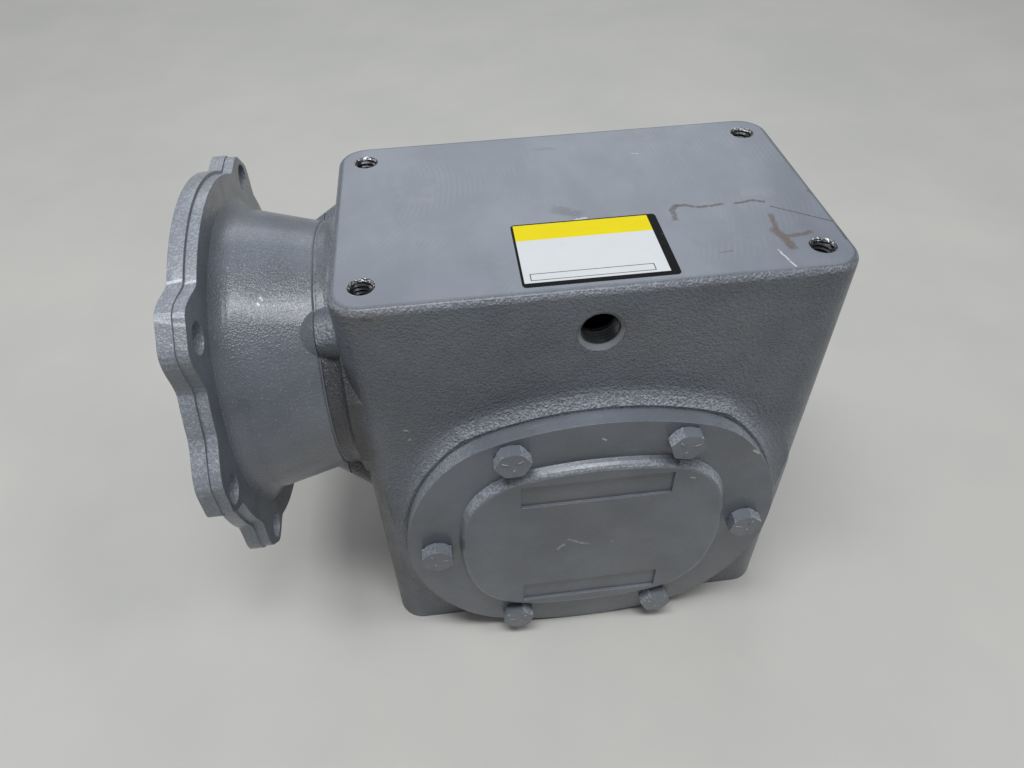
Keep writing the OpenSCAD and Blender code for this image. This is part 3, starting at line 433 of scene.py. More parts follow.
@dataclass(frozen=True)
class SurfaceMark:
    """A scrape, stain, chip or painted edge highlight on one outer face.

    Attributes:
        side: The face that it is on.
        path: Its corners: X and Y on the top, X and Z on the front.
        width: Half its width.
        tint: Its colour.
        share: How much of the enamel it hides.
        waver: How far it strays from its path.
        lean: How far the marked surface may lean off that face.
        above: Height below which it doesn't show.
    """

    side: Side
    path: tuple[Spot, ...]
    width: float
    tint: Tint
    share: float = 0.8
    waver: float = 1.2
    lean: float = 0.0
    above: float = -1.0

    def mask(self, shader: Shader) -> Socket:
        """Finds the marked share of each place.

        Args:
            shader: The material being built.

        Returns:
            The share's socket.
        """
        x, y, z = shader.split(shader.place)
        _, toward_back, up = shader.split(shader.facing)
        first, second = (x, y) if self.side is Side.TOP else (x, z)
        wobble = shader.stray(MARK_EDGE, 2 * self.waver)
        covered: Socket | None = None
        for start, end in zip(self.path, self.path[1:]):
            mark = self.stretch_of(shader, (first, second, wobble), start, end)
            covered = mark if covered is None else shader.math("MAXIMUM", covered, mark)
        if self.side is Side.TOP:
            faced = shader.step(up, TOP_FACE[0] - self.lean, TOP_FACE[1] - self.lean)
        else:
            faced = shader.step(toward_back, *FRONT_FACE)
        high_enough = shader.math("GREATER_THAN", z, self.above * MM)
        return shader.times(covered, shader.patches(MARK_FRAY), faced, high_enough, self.share)

    def stretch_of(
        self, shader: Shader, spot: tuple[Socket, Socket, Socket], start: Spot, end: Spot
    ) -> Socket:
        """Finds the share that one straight stretch of the path covers.

        Args:
            shader: The material being built.
            spot: The two coordinates of the place and the path's wobble.
            start: The stretch's first end.
            end: Its other end.

        Returns:
            The share's socket.
        """
        first, second, wobble = spot
        length, solid = math.dist(start, end), MARK_CORE * self.width
        ux, uy = (end[0] - start[0]) / length, (end[1] - start[1]) / length
        dx, dy = shader.apart(first, start[0]), shader.apart(second, start[1])
        along = shader.math("ADD", shader.times(dx, ux), shader.times(dy, uy))
        across = shader.math("SUBTRACT", shader.times(dy, ux), shader.times(dx, uy))
        across = shader.math("ABSOLUTE", shader.math("ADD", across, wobble))
        return shader.times(
            shader.span(across, self.width, solid),
            shader.span(along, -self.width, 0),
            shader.span(along, length + self.width, length),
        )


@dataclass(frozen=True)
class Enamel:
    """Satin grey enamel over a casting, rough or smooth.

    Attributes:
        name: The material's name.
        relief: Depth of the cast relief.
        grain: Width of the relief's lumps.
        tone: Brightness against the common enamel.
        dull: Roughness of its glossiest and dullest places.
        painted_glints: Share of fine light specks painted into the colour as glints.
        coat: Weight of its clear upper skin.
        machined: Heights at which level faces are machined, if any.
        surface_marks: Marks on it: scrapes, stains, chips and painted edge highlights.
        rims: Bored mouths with bare metal, the same in all four corners: X, Y, radius.
        bright: Stretch along X whose round edge is painted lighter where it faces up: painted
            highlight, partly rubbed wear.
        port: Countersunk port on a side wall: X, Z, outer radius.
        ledges: How much its upward slopes are painted lighter: painted highlight, partly rubbed
            wear.
        recess: Corner darkened with painted shade: X and Z below which it lies.
    """

    name: str
    relief: float = 0.2
    grain: float = 1.2
    tone: float = 1.0
    dull: Band = (0.36, 0.5)
    painted_glints: float = 0.1
    coat: float = 0.35
    machined: Band | None = None
    surface_marks: tuple[SurfaceMark, ...] = ()
    rims: tuple[float, float, float] | None = None
    bright: Band | None = None
    port: tuple[float, float, float] | None = None
    ledges: float = 0.0
    recess: Band | None = None

    def make(self) -> bpy.types.Material:
        """Builds the finish and returns its material."""
        return EnamelShader(self).material


class EnamelShader(Shader):
    """Builds one enamel, from its own colour to its marks and bare rims."""

    def __init__(self, finish: Enamel) -> None:
        """Lays the finish on, layer by layer.

        Args:
            finish: The enamel.
        """
        super().__init__(finish.name)
        self.finish = finish
        colour = self.film()
        relief = self.grains()
        rough = self.lerp(self.patches(GLOSS), *finish.dull)
        # painted highlight on the upward slopes, partly rubbed wear
        if finish.ledges:
            colour = self.ledge_wear_and_highlight(colour)
        # painted shade in the corner behind the motor flange
        if finish.recess:
            colour = self.painted_corner_shade(colour)
        if finish.machined:
            level = self.level_share()
            relief = self.times(relief, self.rest_of(level))
            arcs = self.cutter_arcs(level)
            flat = self.blend(self.times(arcs, ARCS_SHARE), self.cut_face(), CUT_ARCS)
            colour = self.blend(level, colour, flat)
            rough = self.lerp(level, rough, self.lerp(self.noise(CUT_GLOSS), *CUT_DULL))
        # painted highlight on the plate's round edge where it faces up, partly rubbed wear
        if finish.bright:
            colour = self.rim_wear_and_highlight(colour)
        if finish.port:
            mouth = self.port_mouth()
            colour = self.blend(mouth, colour, MOUTH_TINT)
            rough = self.lerp(mouth, rough, METAL_ROUGH)
            relief = self.times(relief, self.rest_of(mouth))
        for surface_mark in finish.surface_marks:
            covered = surface_mark.mask(self)
            colour = self.blend(covered, colour, surface_mark.tint)
            rough = self.lerp(covered, rough, MARK_ROUGH)
        if finish.rims:
            bare = self.bare_rims()
            metal = self.blend(self.patches(BARE_SPECKS), BARE_DARK, BARE_PALE)
            colour = self.blend(bare, colour, metal)
            rough = self.lerp(bare, rough, METAL_ROUGH)
            self.set("Metallic", bare)
        self.set("Base Color", colour)
        self.set("Roughness", rough)
        self.set("Specular IOR Level", 0.5)
        self.set("Coat Weight", finish.coat)
        self.set("Coat Roughness", COAT_ROUGH)
        self.bump(relief, finish.relief)
        self.bump(self.noise(SKIN), SKIN_DEPTH)
        if finish.machined:
            self.bump(arcs, ARC_DEPTH)
            self.bump(self.times(self.noise(CUT_SWELL), level), SWELL_DEPTH, 0.6)

    def film(self) -> Socket:
        """Mixes the enamel's own colour, cloudy, dusty and speckled, with painted glints.

        Returns:
            The colour's socket.
        """
        base = scaled(self.finish.tone, GREY)
        dark, pale = scaled(FILM_DARK, base), scaled(FILM_PALE, base)
        colour = self.blend(self.patches(CLOUDS), dark, pale)
        colour = self.blend(self.patches(DUST), colour, scaled(self.finish.tone, DUSTY))
        # painted glints: fine bright specks mixed into the colour
        glints = self.times(self.patches(GLINT_SPECKS), self.finish.painted_glints * GLINT_SHARE)
        colour = self.blend(glints, colour, GLINT_TINT)
        return self.blend(self.patches(PORES), colour, scaled(PORE_DARK, base))

    def grains(self) -> Socket:
        """Shapes the orange peel of enamel over sand-cast iron.

        Returns:
            The relief's socket, 0 to about 1.
        """
        lumps = self.noise(Mottle(self.finish.grain * LUMP_WIDTH, 2))
        pebbles = self.step(self.cells(self.finish.grain, PEBBLE_SOFT), *PEBBLE_ROUND)
        heaves = self.noise(Mottle(self.finish.grain * HEAVE_WIDTH, 2))
        relief = self.math("ADD", lumps, self.times(pebbles, PEBBLE_SHARE))
        return self.math("ADD", relief, self.times(heaves, HEAVE_SHARE))

    def level_share(self) -> Socket:
        """Finds the level machined faces.

        Returns:
            1 on them and 0 elsewhere.
        """
        _, _, height = self.split(self.place)
        _, _, up = self.split(self.facing)
        low, high = self.finish.machined
        cut = self.math(
            "MAXIMUM", self.edge(height, high, TOP_CUT), self.edge(height, low, BASE_CUT)
        )
        return self.times(cut, self.step(self.math("ABSOLUTE", up), *LEVEL_FACE))

    def cut_face(self) -> Socket:
        """Mixes the colour of the enamel on a machined face.

        Returns:
            The colour's socket.
        """
        flat = self.blend(self.patches(CUT_SHEEN), CUT_DARK, CUT_PALE)
        return self.blend(self.patches(CUT_WEAR), flat, CUT_RUBBED)

    def rim_wear_and_highlight(self, colour: Socket) -> Socket:
        """Paints the round edge of a plate lighter where it faces up, speckled: painted highlight,
        partly rubbed wear.

        Args:
            colour: The enamel's colour so far.

        Returns:
            The colour's socket.
        """
        x, _, _ = self.split(self.place)
        along, _, up = self.split(self.facing)
        low, high = self.finish.bright
        share = self.times(
            self.edge(x, high, RIM_FAR),
            self.step(self.math("ABSOLUTE", along), *RIM_ROUND),
            self.edge(x, low, RIM_NEAR),
            self.step(up, *RIM_UP),
            self.lerp(self.patches(RIM_SPECKS), *RIM_LIT_AND_WORN),
        )
        return self.blend(share, colour, RIM_HIGHLIGHT_TINT)

    def ledge_wear_and_highlight(self, colour: Socket) -> Socket:
        """Paints the upward slopes of a casting lighter, grain by grain: painted highlight, partly
        rubbed wear.

        Args:
            colour: The enamel's colour so far.

        Returns:
            The colour's socket.
        """
        _, _, up = self.split(self.facing)
        slopes = self.times(self.step(up, *LEDGE_RISE), self.step(up, *LEDGE_LEVELS))
        grains = self.lerp(self.patches(LEDGE_SPECKS), *LEDGE_LIT_AND_WORN)
        if self.finish.machined:  # the painted highlight is weaker on the edge below the machined top
            _, _, height = self.split(self.place)
            brow = self.edge(height, self.finish.machined[1], BROW)
            grains = self.times(grains, self.lerp(brow, 1.0, BROW_SHARE))
        return self.blend(self.times(slopes, grains, self.finish.ledges), colour, LEDGE_HIGHLIGHT_TINT)

    def painted_corner_shade(self, colour: Socket) -> Socket:
        """Darkens a corner with painted shade.

        Args:
            colour: The enamel's colour so far.

        Returns:
            The colour's socket.
        """
        x, _, height = self.split(self.place)
        edge, top = self.finish.recess
        height = self.math("ADD", height, self.stray(GLOSS, CORNER_SHADE_STRAY))
        corner = self.times(self.edge(x, edge, CORNER_SHADE_SIDE), self.edge(height, top, CORNER_SHADE_TOP))
        return self.blend(self.times(corner, CORNER_SHADE_SHARE), colour, CORNER_SHADE_TINT)

    def port_mouth(self) -> Socket:
        """Finds the cut mouth of a port in a side wall.

        Returns:
            1 on it and 0 elsewhere.
        """
        x, _, height = self.split(self.place)
        place_x, place_z, radius = self.finish.port
        gap = self.away(self.apart(x, place_x), self.apart(height, place_z))
        gap = self.math("ADD", gap, self.stray(MOUTH_EDGE, MOUTH_STRAY))
        return self.edge(gap, radius, PORT_EDGE)

    def bare_rims(self) -> Socket:
        """Finds the bare metal round the tapped holes.

        Returns:
            1 on it and 0 elsewhere.
        """
        x, y, _ = self.split(self.place)
        hole_x, hole_y, radius = self.finish.rims
        gap = self.away(self.apart(x, hole_x, True), self.apart(y, hole_y, True))
        gap = self.math("ADD", gap, self.stray(BARE_EDGE, BARE_STRAY))
        return self.edge(gap, radius, HOLE_EDGE)

    def cutter_arcs(self, level: Socket) -> Socket:
        """Shapes the face mill's faint arcs on a machined face.

        Args:
            level: Share of the machined face.

        Returns:
            The arcs' socket, 0 to 1.
        """
        shift = self.nodes.new("ShaderNodeMapping")
        self.feed(shift.inputs["Vector"], self.place)
        shift.inputs["Location"].default_value = ARCS_MIDDLE
        arcs = self.nodes.new("ShaderNodeTexWave")
        arcs.wave_type = "RINGS"
        arcs.rings_direction = "Z"
        self.feed(arcs.inputs["Vector"], shift.outputs[0])
        for name, value in ARCS_WAVE.items():
            arcs.inputs[name].default_value = value
        return self.times(arcs.outputs["Fac"], self.times(self.patches(ARCS_SHOWN), level))


@dataclass(frozen=True)
class Metal:
    """Bare machined or pressed metal with fine tool marks.

    Attributes:
        name: The material's name.
        tint: Its colour.
        rough: Its middle roughness.
        lines: Spacing of its tool marks.
        axis: The direction the tool marks run round, X, Y or Z.
    """

    name: str
    tint: Tint
    rough: float = 0.3
    lines: float = 0.3
    axis: str = "X"

    def make(self) -> bpy.types.Material:
        """Builds the finish.

        Returns:
            The material.
        """
        shader = Shader(self.name)
        stains = shader.patches(Mottle(14, 5, 0.6, 0.35, 0.7))
        shader.set("Base Color", shader.blend(stains, scaled(0.72, self.tint), self.tint))
        shader.set("Metallic", 1.0)
        clouds = shader.patches(Mottle(4, 4, 0.6))
        shader.set("Roughness", shader.lerp(clouds, self.rough * 0.8, self.rough * 1.3))
        stretch = {"X": (1, 0.04, 0.04), "Y": (0.04, 1, 0.04), "Z": (0.04, 0.04, 1)}
        marks = shader.noise(Mottle(self.lines, 2, stretch=stretch[self.axis]))
        shader.bump(marks, 0.02, 0.6)
        return shader.material


@dataclass(frozen=True)
class Rubber:
    """Moulded rubber with a fine grain.

    Attributes:
        name: The material's name.
        tint: Its colour.
        rough: Its roughness.
        grain: Width of its grain.
        change: How much its colour varies.
        relief: Depth of its relief.
    """

    name: str = "seal rubber"
    tint: Tint = srgb(38, 38, 40)
    rough: float = 0.55
    grain: float = 0.5
    change: float = 0.25
    relief: float = 0.03

    def make(self) -> bpy.types.Material:
        """Builds the finish.

        Returns:
            The material.
        """
        shader = Shader(self.name)
        cloud = shader.patches(Mottle(self.grain * 8, 4, 0.6))
        dark = scaled(1 - self.change, self.tint)
        shader.set("Base Color", shader.blend(cloud, dark, self.tint))
        gloss = shader.patches(Mottle(self.grain * 5))
        shader.set("Roughness", shader.lerp(gloss, self.rough * 0.9, self.rough))
        shader.bump(shader.noise(Mottle(self.grain, 3, 0.6)), self.relief)
        return shader.material


def mesh_piece(
    name: str,
    points: list[Point],
    faces: list[tuple[int, ...]],
    material: bpy.types.Material,
    smooth: bool = True,
) -> bpy.types.Object:
    """Makes one piece from points in millimetres and rides it on the casing.

    Args:
        name: The piece's name.
        points: Its corners.
        faces: Its faces, as indices of points.
        material: Its finish.
        smooth: Whether its faces are shaded smooth.

    Returns:
        The new object.
    """
    mesh = bpy.data.meshes.new(name)
    mesh.from_pydata([tuple(MM * part for part in point) for point in points], [], faces)
    mesh.validate()
    work = bmesh.new()
    work.from_mesh(mesh)
    bmesh.ops.recalc_face_normals(work, faces=work.faces[:])
    work.to_mesh(mesh)
    work.free()
    for face in mesh.polygons:
        face.use_smooth = smooth
    mesh.materials.append(material)
    piece = bpy.data.objects.new(name, mesh)
    bpy.context.scene.collection.objects.link(piece)
    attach(piece, CASING)
    LOG.info("%s: %d faces on the %s", name, len(mesh.polygons), CASING)
    return piece


def dress(frame: dict, names: tuple[str, ...], material: bpy.types.Material) -> None:
    """Gives pieces of the solid model one finish.

    Args:
        names: The nodes.
        material: Their finish.
    """
    for name in names:
        mesh = frame["nodes"][name].data
        mesh.materials.clear()
        mesh.materials.append(material)
        LOG.info("%s: finish %s", name, material.name)


def soften(node: bpy.types.Object, width: float) -> None:
    """Rounds the sharp edges of a casting, as sand moulds do.

    Args:
        node: The casting.
        width: Width of the rounding.
    """
    merge = node.modifiers.new("merge", "WELD")
    merge.merge_threshold = 0.002 * MM
    flat = node.modifiers.new("flat faces", "DECIMATE")
    flat.decimate_type = "DISSOLVE"
    flat.angle_limit = math.radians(0.6)
    edge = node.modifiers.new("cast edges", "BEVEL")
    edge.width = width * MM
    edge.segments = 3
    edge.limit_method = "ANGLE"
    edge.angle_limit = math.radians(34)
    edge.use_clamp_overlap = True
    edge.harden_normals = False


@dataclass
class ThreadedHole:
    """The visible turns of a tapped hole.

    Attributes:
        name: The piece's name.
        mouth: Middle of the hole's mouth.
        inward: Direction into the hole.
        radius: Drilled radius.
        pitch: Thread pitch.
        turns: Turns that are made.
        start: Depth of the first turn.
        crest: Height of the thread's crest.
        steps: Corners in one turn.
        sunk: How far the thread's foot lies in the wall.
        fill: Share of the pitch that the thread's foot takes.
    """

    name: str
    mouth: Point
    inward: Point
    radius: float
    pitch: float
    turns: int
    start: float = 1.0
    crest: float = 0.55
    steps: int = 40
    sunk: float = 0.02
    fill: float = 0.94

    def build(self, material: bpy.types.Material) -> bpy.types.Object:
        """Sweeps a ridge down the hole's wall.

        Args:
            material: Its finish.

        Returns:
            The thread.
        """
        axis = Vector(self.inward)
        side = axis.orthogonal().normalized()
        other = axis.cross(side)
        section = ((self.sunk, 0), (-self.crest, 0.42), (-self.crest, 0.58), (self.sunk, 1))
        points, faces = [], []
        count, run_out = self.turns * self.steps, self.steps / 4
        for i in range(count + 1):
            turn = 2 * math.pi * i / self.steps
            fade = min(1.0, i / run_out, (count - i) / run_out)
            radial = side * math.cos(turn) + other * math.sin(turn)
            for out, along in section:
                reach = self.radius + (out if out > 0 else out * fade)
                depth = self.start + self.pitch * (i / self.steps + along * self.fill)
                points.append(tuple(Vector(self.mouth) + axis * depth + radial * reach))
        for a in range(0, 4 * count, 4):
            for j in range(4):
                n = (j + 1) % 4
                faces.append((a + j, a + n, a + n + 4, a + j + 4))
        faces += [(3, 2, 1, 0), tuple(4 * count + k for k in range(4))]
        return mesh_piece(self.name, points, faces, material, smooth=False)


BROWN, SMUDGE, CHIP = srgb(66, 56, 52), srgb(98, 88, 82), srgb(226, 230, 238)
PALE, CHALK, CREAM = srgb(206, 208, 212), srgb(176, 180, 186), srgb(168, 162, 160)
TOP, FRONT = Side.TOP, Side.FRONT

CASING_SCUFFS = (
    SurfaceMark(TOP, ((37.2, -9.9), (40.0, -9.9), (45.6, -12.2), (54.3, -11.4)), 1.1, BROWN),
    SurfaceMark(TOP, ((37.2, -9.9), (34.6, -12.4), (34.2, -18.9)), 1.5, BROWN, 0.75, 1.6),
    SurfaceMark(TOP, ((59.3, -11.8), (67.2, -10.6), (70.2, -12.1)), 1.0, BROWN),
    SurfaceMark(TOP, ((71.5, -15.6), (91.0, -29.6)), 0.4, BROWN, 0.9, 0.3),
    SurfaceMark(TOP, ((69.5, -21.5), (68.3, -31.0)), 1.4, SMUDGE, 0.95, 0.9),
    SurfaceMark(TOP, ((67.3, -31.0), (68.9, -36.0), (69.8, -42.6)), 2.3, SMUDGE, 0.95, 1.3),
    SurfaceMark(TOP, ((70.1, -35.6), (76.6, -35.2), (79.4, -34.2)), 1.5, SMUDGE, 0.85, 1.0),
    SurfaceMark(TOP, ((64.2, -43.3), (66.6, -53.4)), 0.45, PALE, 0.9, 0.5),
    SurfaceMark(TOP, ((90.6, -31.0), (90.2, -40.5)), 0.7, BROWN, 0.7, 0.8),
    SurfaceMark(TOP, ((89.6, -6.9), (90.8, -9.5)), 1.0, SMUDGE, 0.6, 0.8),
    SurfaceMark(TOP, ((-8.0, -5.5), (-1.0, -9.5)), 3.6, srgb(84, 80, 84), 0.45, 3.4),
    SurfaceMark(TOP, ((-2.5, -13.2), (2.0, -12.9)), 0.7, PALE, 0.7, 1.4),
    SurfaceMark(TOP, ((-9.5, 42.2), (-1.5, 42.6)), 1.4, srgb(96, 96, 104), 0.35, 2.0),
    SurfaceMark(TOP, ((43.8, -41.9), (48.6, -41.5)), 0.5, BROWN, 0.45, 0.6),
    SurfaceMark(TOP, ((30.0, 33.0), (32.5, 31.8)), 0.5, PALE, 0.4, 1.0),
    SurfaceMark(FRONT, ((-73.6, 141.3), (-72.4, 141.0)), 0.55, CHALK, 0.9, 0.4),
    SurfaceMark(FRONT, ((-72.6, 135.6), (-72.0, 136.0)), 0.5, CHALK, 0.9, 0.4),
    SurfaceMark(FRONT, ((-80.5, 196.6), (-77.5, 196.4)), 0.9, srgb(98, 82, 58), 0.6, 1.0),
)
BELL_MARKS_AND_EDGE_HIGHLIGHTS = (
    # the next two are painted highlights along the crests of the plate's ears, partly rubbed
    # paint; the last two are chips
    SurfaceMark(TOP, ((-149.0, -38.1), (-134.4, -36.2)), 0.75, srgb(214, 218, 226), 0.9, 0.5, 0.2, 195),
    SurfaceMark(TOP, ((-148.5, -56.2), (-134.4, -57.6)), 0.6, srgb(206, 210, 218), 0.8, 0.6, 0.4, 195),
    SurfaceMark(TOP, ((-118.8, -28.2), (-118.3, -28.9)), 0.55, CHIP, 1.0, 0.2, 0.3, 180),
    SurfaceMark(TOP, ((-119.8, -30.3), (-119.4, -30.6)), 0.55, CHIP, 1.0, 0.2, 0.3, 180),
)
COVER_SCUFFS = (
    SurfaceMark(FRONT, ((1.2, 136.4), (2.6, 135.4)), 0.5, srgb(214, 212, 206), 0.9, 0.5),
    SurfaceMark(FRONT, ((64.2, 119.4), (66.6, 117.2)), 0.8, srgb(206, 200, 190), 0.85, 1.0),
    SurfaceMark(FRONT, ((38.2, 111.4), (39.8, 110.6)), 0.5, srgb(200, 200, 196), 0.8, 0.6),
    SurfaceMark(FRONT, ((-15.8, 70.3), (-13.0, 73.4)), 0.8, CREAM, 0.75, 1.6),
    SurfaceMark(FRONT, ((-11.0, 76.6), (-6.5, 73.8), (-2.0, 71.6)), 0.85, CREAM, 0.75, 1.7),
    SurfaceMark(FRONT, ((8.2, 71.6), (9.0, 71.2)), 0.7, srgb(160, 156, 154), 0.5, 0.8),
)


@dataclass
class Casing:
    """The housing with its machined faces, ports and threads.

    Attributes:
        height: Height of the machined top.
        front: Where the front wall lies along Y.
        hole_x: Distance of the tapped holes from the middle along X.
        hole_y: The same along Y.
        top_radius: Drilled radius of the holes in the top.
        base_radius: Drilled radius of the holes in the base.
        hole_pitch: Thread pitch of both.
        fill_height: Height of the filling port.
        port_radius: Its drilled radius.
        port_chamfer: Width of its countersink.
        port_pitch: Its thread pitch.
        neck_recess: Corner behind the motor flange that is darkened with painted shade: X and Z of
            its edges.
    """

    height: float = 200.0
    front: float = -56.5
    hole_x: float = 80.65
    hole_y: float = 42.9
    top_radius: float = 3.97
    base_radius: float = 4.67
    hole_pitch: float = 1.5875
    fill_height: float = 181.4
    port_radius: float = 7.2
    port_chamfer: float = 1.4
    port_pitch: float = 1.411
    neck_recess: Spot = (-89.0, 176.0)

    def build(self, frame: dict) -> None:
        """Dresses the housing and cuts its threads.
        """
        rough = Enamel(
            "enamel rough cast",
            relief=0.55,
            grain=1.0,
            tone=0.87,
            painted_glints=0.16,
            ledges=0.6,
            recess=self.neck_recess,
            machined=(0.0, self.height),
            surface_marks=CASING_SCUFFS,
            rims=(self.hole_x, self.hole_y, self.top_radius),
            port=(0.0, self.fill_height, self.port_radius + self.port_chamfer),
        )
        dress(frame, ("housing",), rough.make())
        bare = Metal("cut thread", srgb(104, 105, 109), lines=0.4, axis="Z").make()
        for x, left_right in ((-1, "left"), (1, "right")):
            for y, near_far in ((-1, "near"), (1, "far")):
                for place, z, inward, radius, turns in (
                    ("top", self.height, -1, self.top_radius, 9),
                    ("base", 0.0, 1, self.base_radius, 8),
                ):
                    ThreadedHole(
                        f"thread_{place}_{left_right}_{near_far}",
                        mouth=(x * self.hole_x, y * self.hole_y, z),
                        inward=(0, 0, inward),
                        radius=radius,
                        pitch=self.hole_pitch,
                        turns=turns,
                    ).build(bare)
        ThreadedHole(
            "thread_fill_port",
            mouth=(0.0, self.front, self.fill_height),
            inward=(0, 1, 0),
            radius=self.port_radius,
            pitch=self.port_pitch,
            turns=5,
            start=self.port_chamfer,
            crest=0.6,
            steps=56,
        ).build(bare)


@dataclass
class MotorSide:
    """The bell, its plate, its screws, seals, rings and gasket.

    Attributes:
        plate: Where the plate's rim lies along the worm.
        cast_edge: Width of the bell's rounded edges.
    """

    plate: Band = (-150.0, -133.6)
    cast_edge: float = 1.1

    def build(self, frame: dict) -> None:
        """Dresses the input side.
        """
        bell = Enamel(
            "enamel bell",
            relief=0.19,
            grain=0.72,
            tone=0.97,
            dull=(0.28, 0.4),
            painted_glints=0.5,
            surface_marks=BELL_MARKS_AND_EDGE_HIGHLIGHTS,
            bright=self.plate,
        )
        dress(frame, ("input_flange",), bell.make())
        soften(frame["nodes"]["input_flange"], self.cast_edge)
        gasket = Enamel("enamel over gasket", relief=0.08, grain=0.9, tone=0.9)
        dress(frame, ("flange_gasket",), gasket.make())
        oxide = Metal("black oxide", srgb(52, 52, 55), 0.38).make()
        dress(frame, ("flange_screws", "shaft_retaining_ring", "bore_retaining_ring"), oxide)
        dress(frame, ("input_seal", "output_seal"), Rubber().make())


@dataclass
class Cover:
    """A cover with its shims and bolts, and the grade lines on the bolt heads.

    Attributes:
        side: -1 for the near cover, 1 for the far one.
        cover: The cover's node.
        enamel: Finish of the casting.
        circle: Radius of the bolt circle.
        axis_height: Height of its centre.
        head_plane: Distance of the bolt heads from the middle plane.
        cast_edge: Width of the cover's rounded edges.
        line_reach: Where a grade line starts and ends from the bolt's centre.
        line_width: Half its width at the foot and at the crest.
        line_lift: How far its foot is sunk and its crest is raised.
        line_slope: How far its ends slope inward.
        turns: How far each bolt head is turned, in degrees.
    """

    side: int
    cover: str
    enamel: Enamel
    circle: float = 67.85
    axis_height: float = 73.0
    head_plane: float = 72.0
    cast_edge: float = 0.9
    line_reach: Band = (1.9, 4.9)
    line_width: Band = (0.42, 0.22)
    line_lift: Band = (-0.05, 0.24)
    line_slope: float = 0.2
    turns: tuple[float, ...] = (20, 48, 5, 33, 12, 55)

    def build(self, frame: dict, paint: bpy.types.Material, edge: bpy.types.Material) -> None:
        """Dresses the cover and raises the grade lines.

        Args:
            paint: Finish of the bolts.
            edge: Finish of the shims' edges.
        """
        dress(frame, (self.cover,), self.enamel.make())
        soften(frame["nodes"][self.cover], self.cast_edge)
        dress(frame, (f"{self.cover}_bolts",), paint)
        dress(frame, (f"{self.cover}_shims",), edge)
        points: list[Point] = []
        faces: list[tuple[int, ...]] = []
        for i, turn in enumerate(self.turns):
            for line in range(3):
                angle = math.radians(60 * i + turn + 30 + 120 * line)
                self.bar(points, faces, math.radians(60 * i), angle)
        mesh_piece(f"{self.cover}_bolts_grade_lines", points, faces, paint)

    def bar(
        self, points: list[Point], faces: list[tuple[int, ...]], place: float, angle: float
    ) -> None:
        """Adds one raised line with sloping sides to a bolt head.

        Args:
            points: Corners so far, added to.
            faces: Faces so far, added to.
            place: The bolt's angle round the cover, in radians.
            angle: The line's own angle, in radians.
        """
        a = len(points)
        for width, lift, slope in zip(self.line_width, self.line_lift, (0, self.line_slope)):
            low, high = self.line_reach[0] + slope, self.line_reach[1] - slope
            for r, edge in ((low, -1), (high, -1), (high, 1), (low, 1)):
                across = self.circle * math.cos(place) + r * math.cos(angle)
                across -= edge * width * math.sin(angle)
                up = self.circle * math.sin(place) + r * math.sin(angle)
                up += edge * width * math.cos(angle)
                out = self.side * (self.head_plane + lift)
                points.append((across, out, self.axis_height - self.side * up))
        faces.append((a + 4, a + 5, a + 6, a + 7))
        for k in range(4):
            n = (k + 1) % 4
            faces.append((a + k, a + n, a + 4 + n, a + 4 + k))
        faces.append((a + 3, a + 2, a + 1, a))


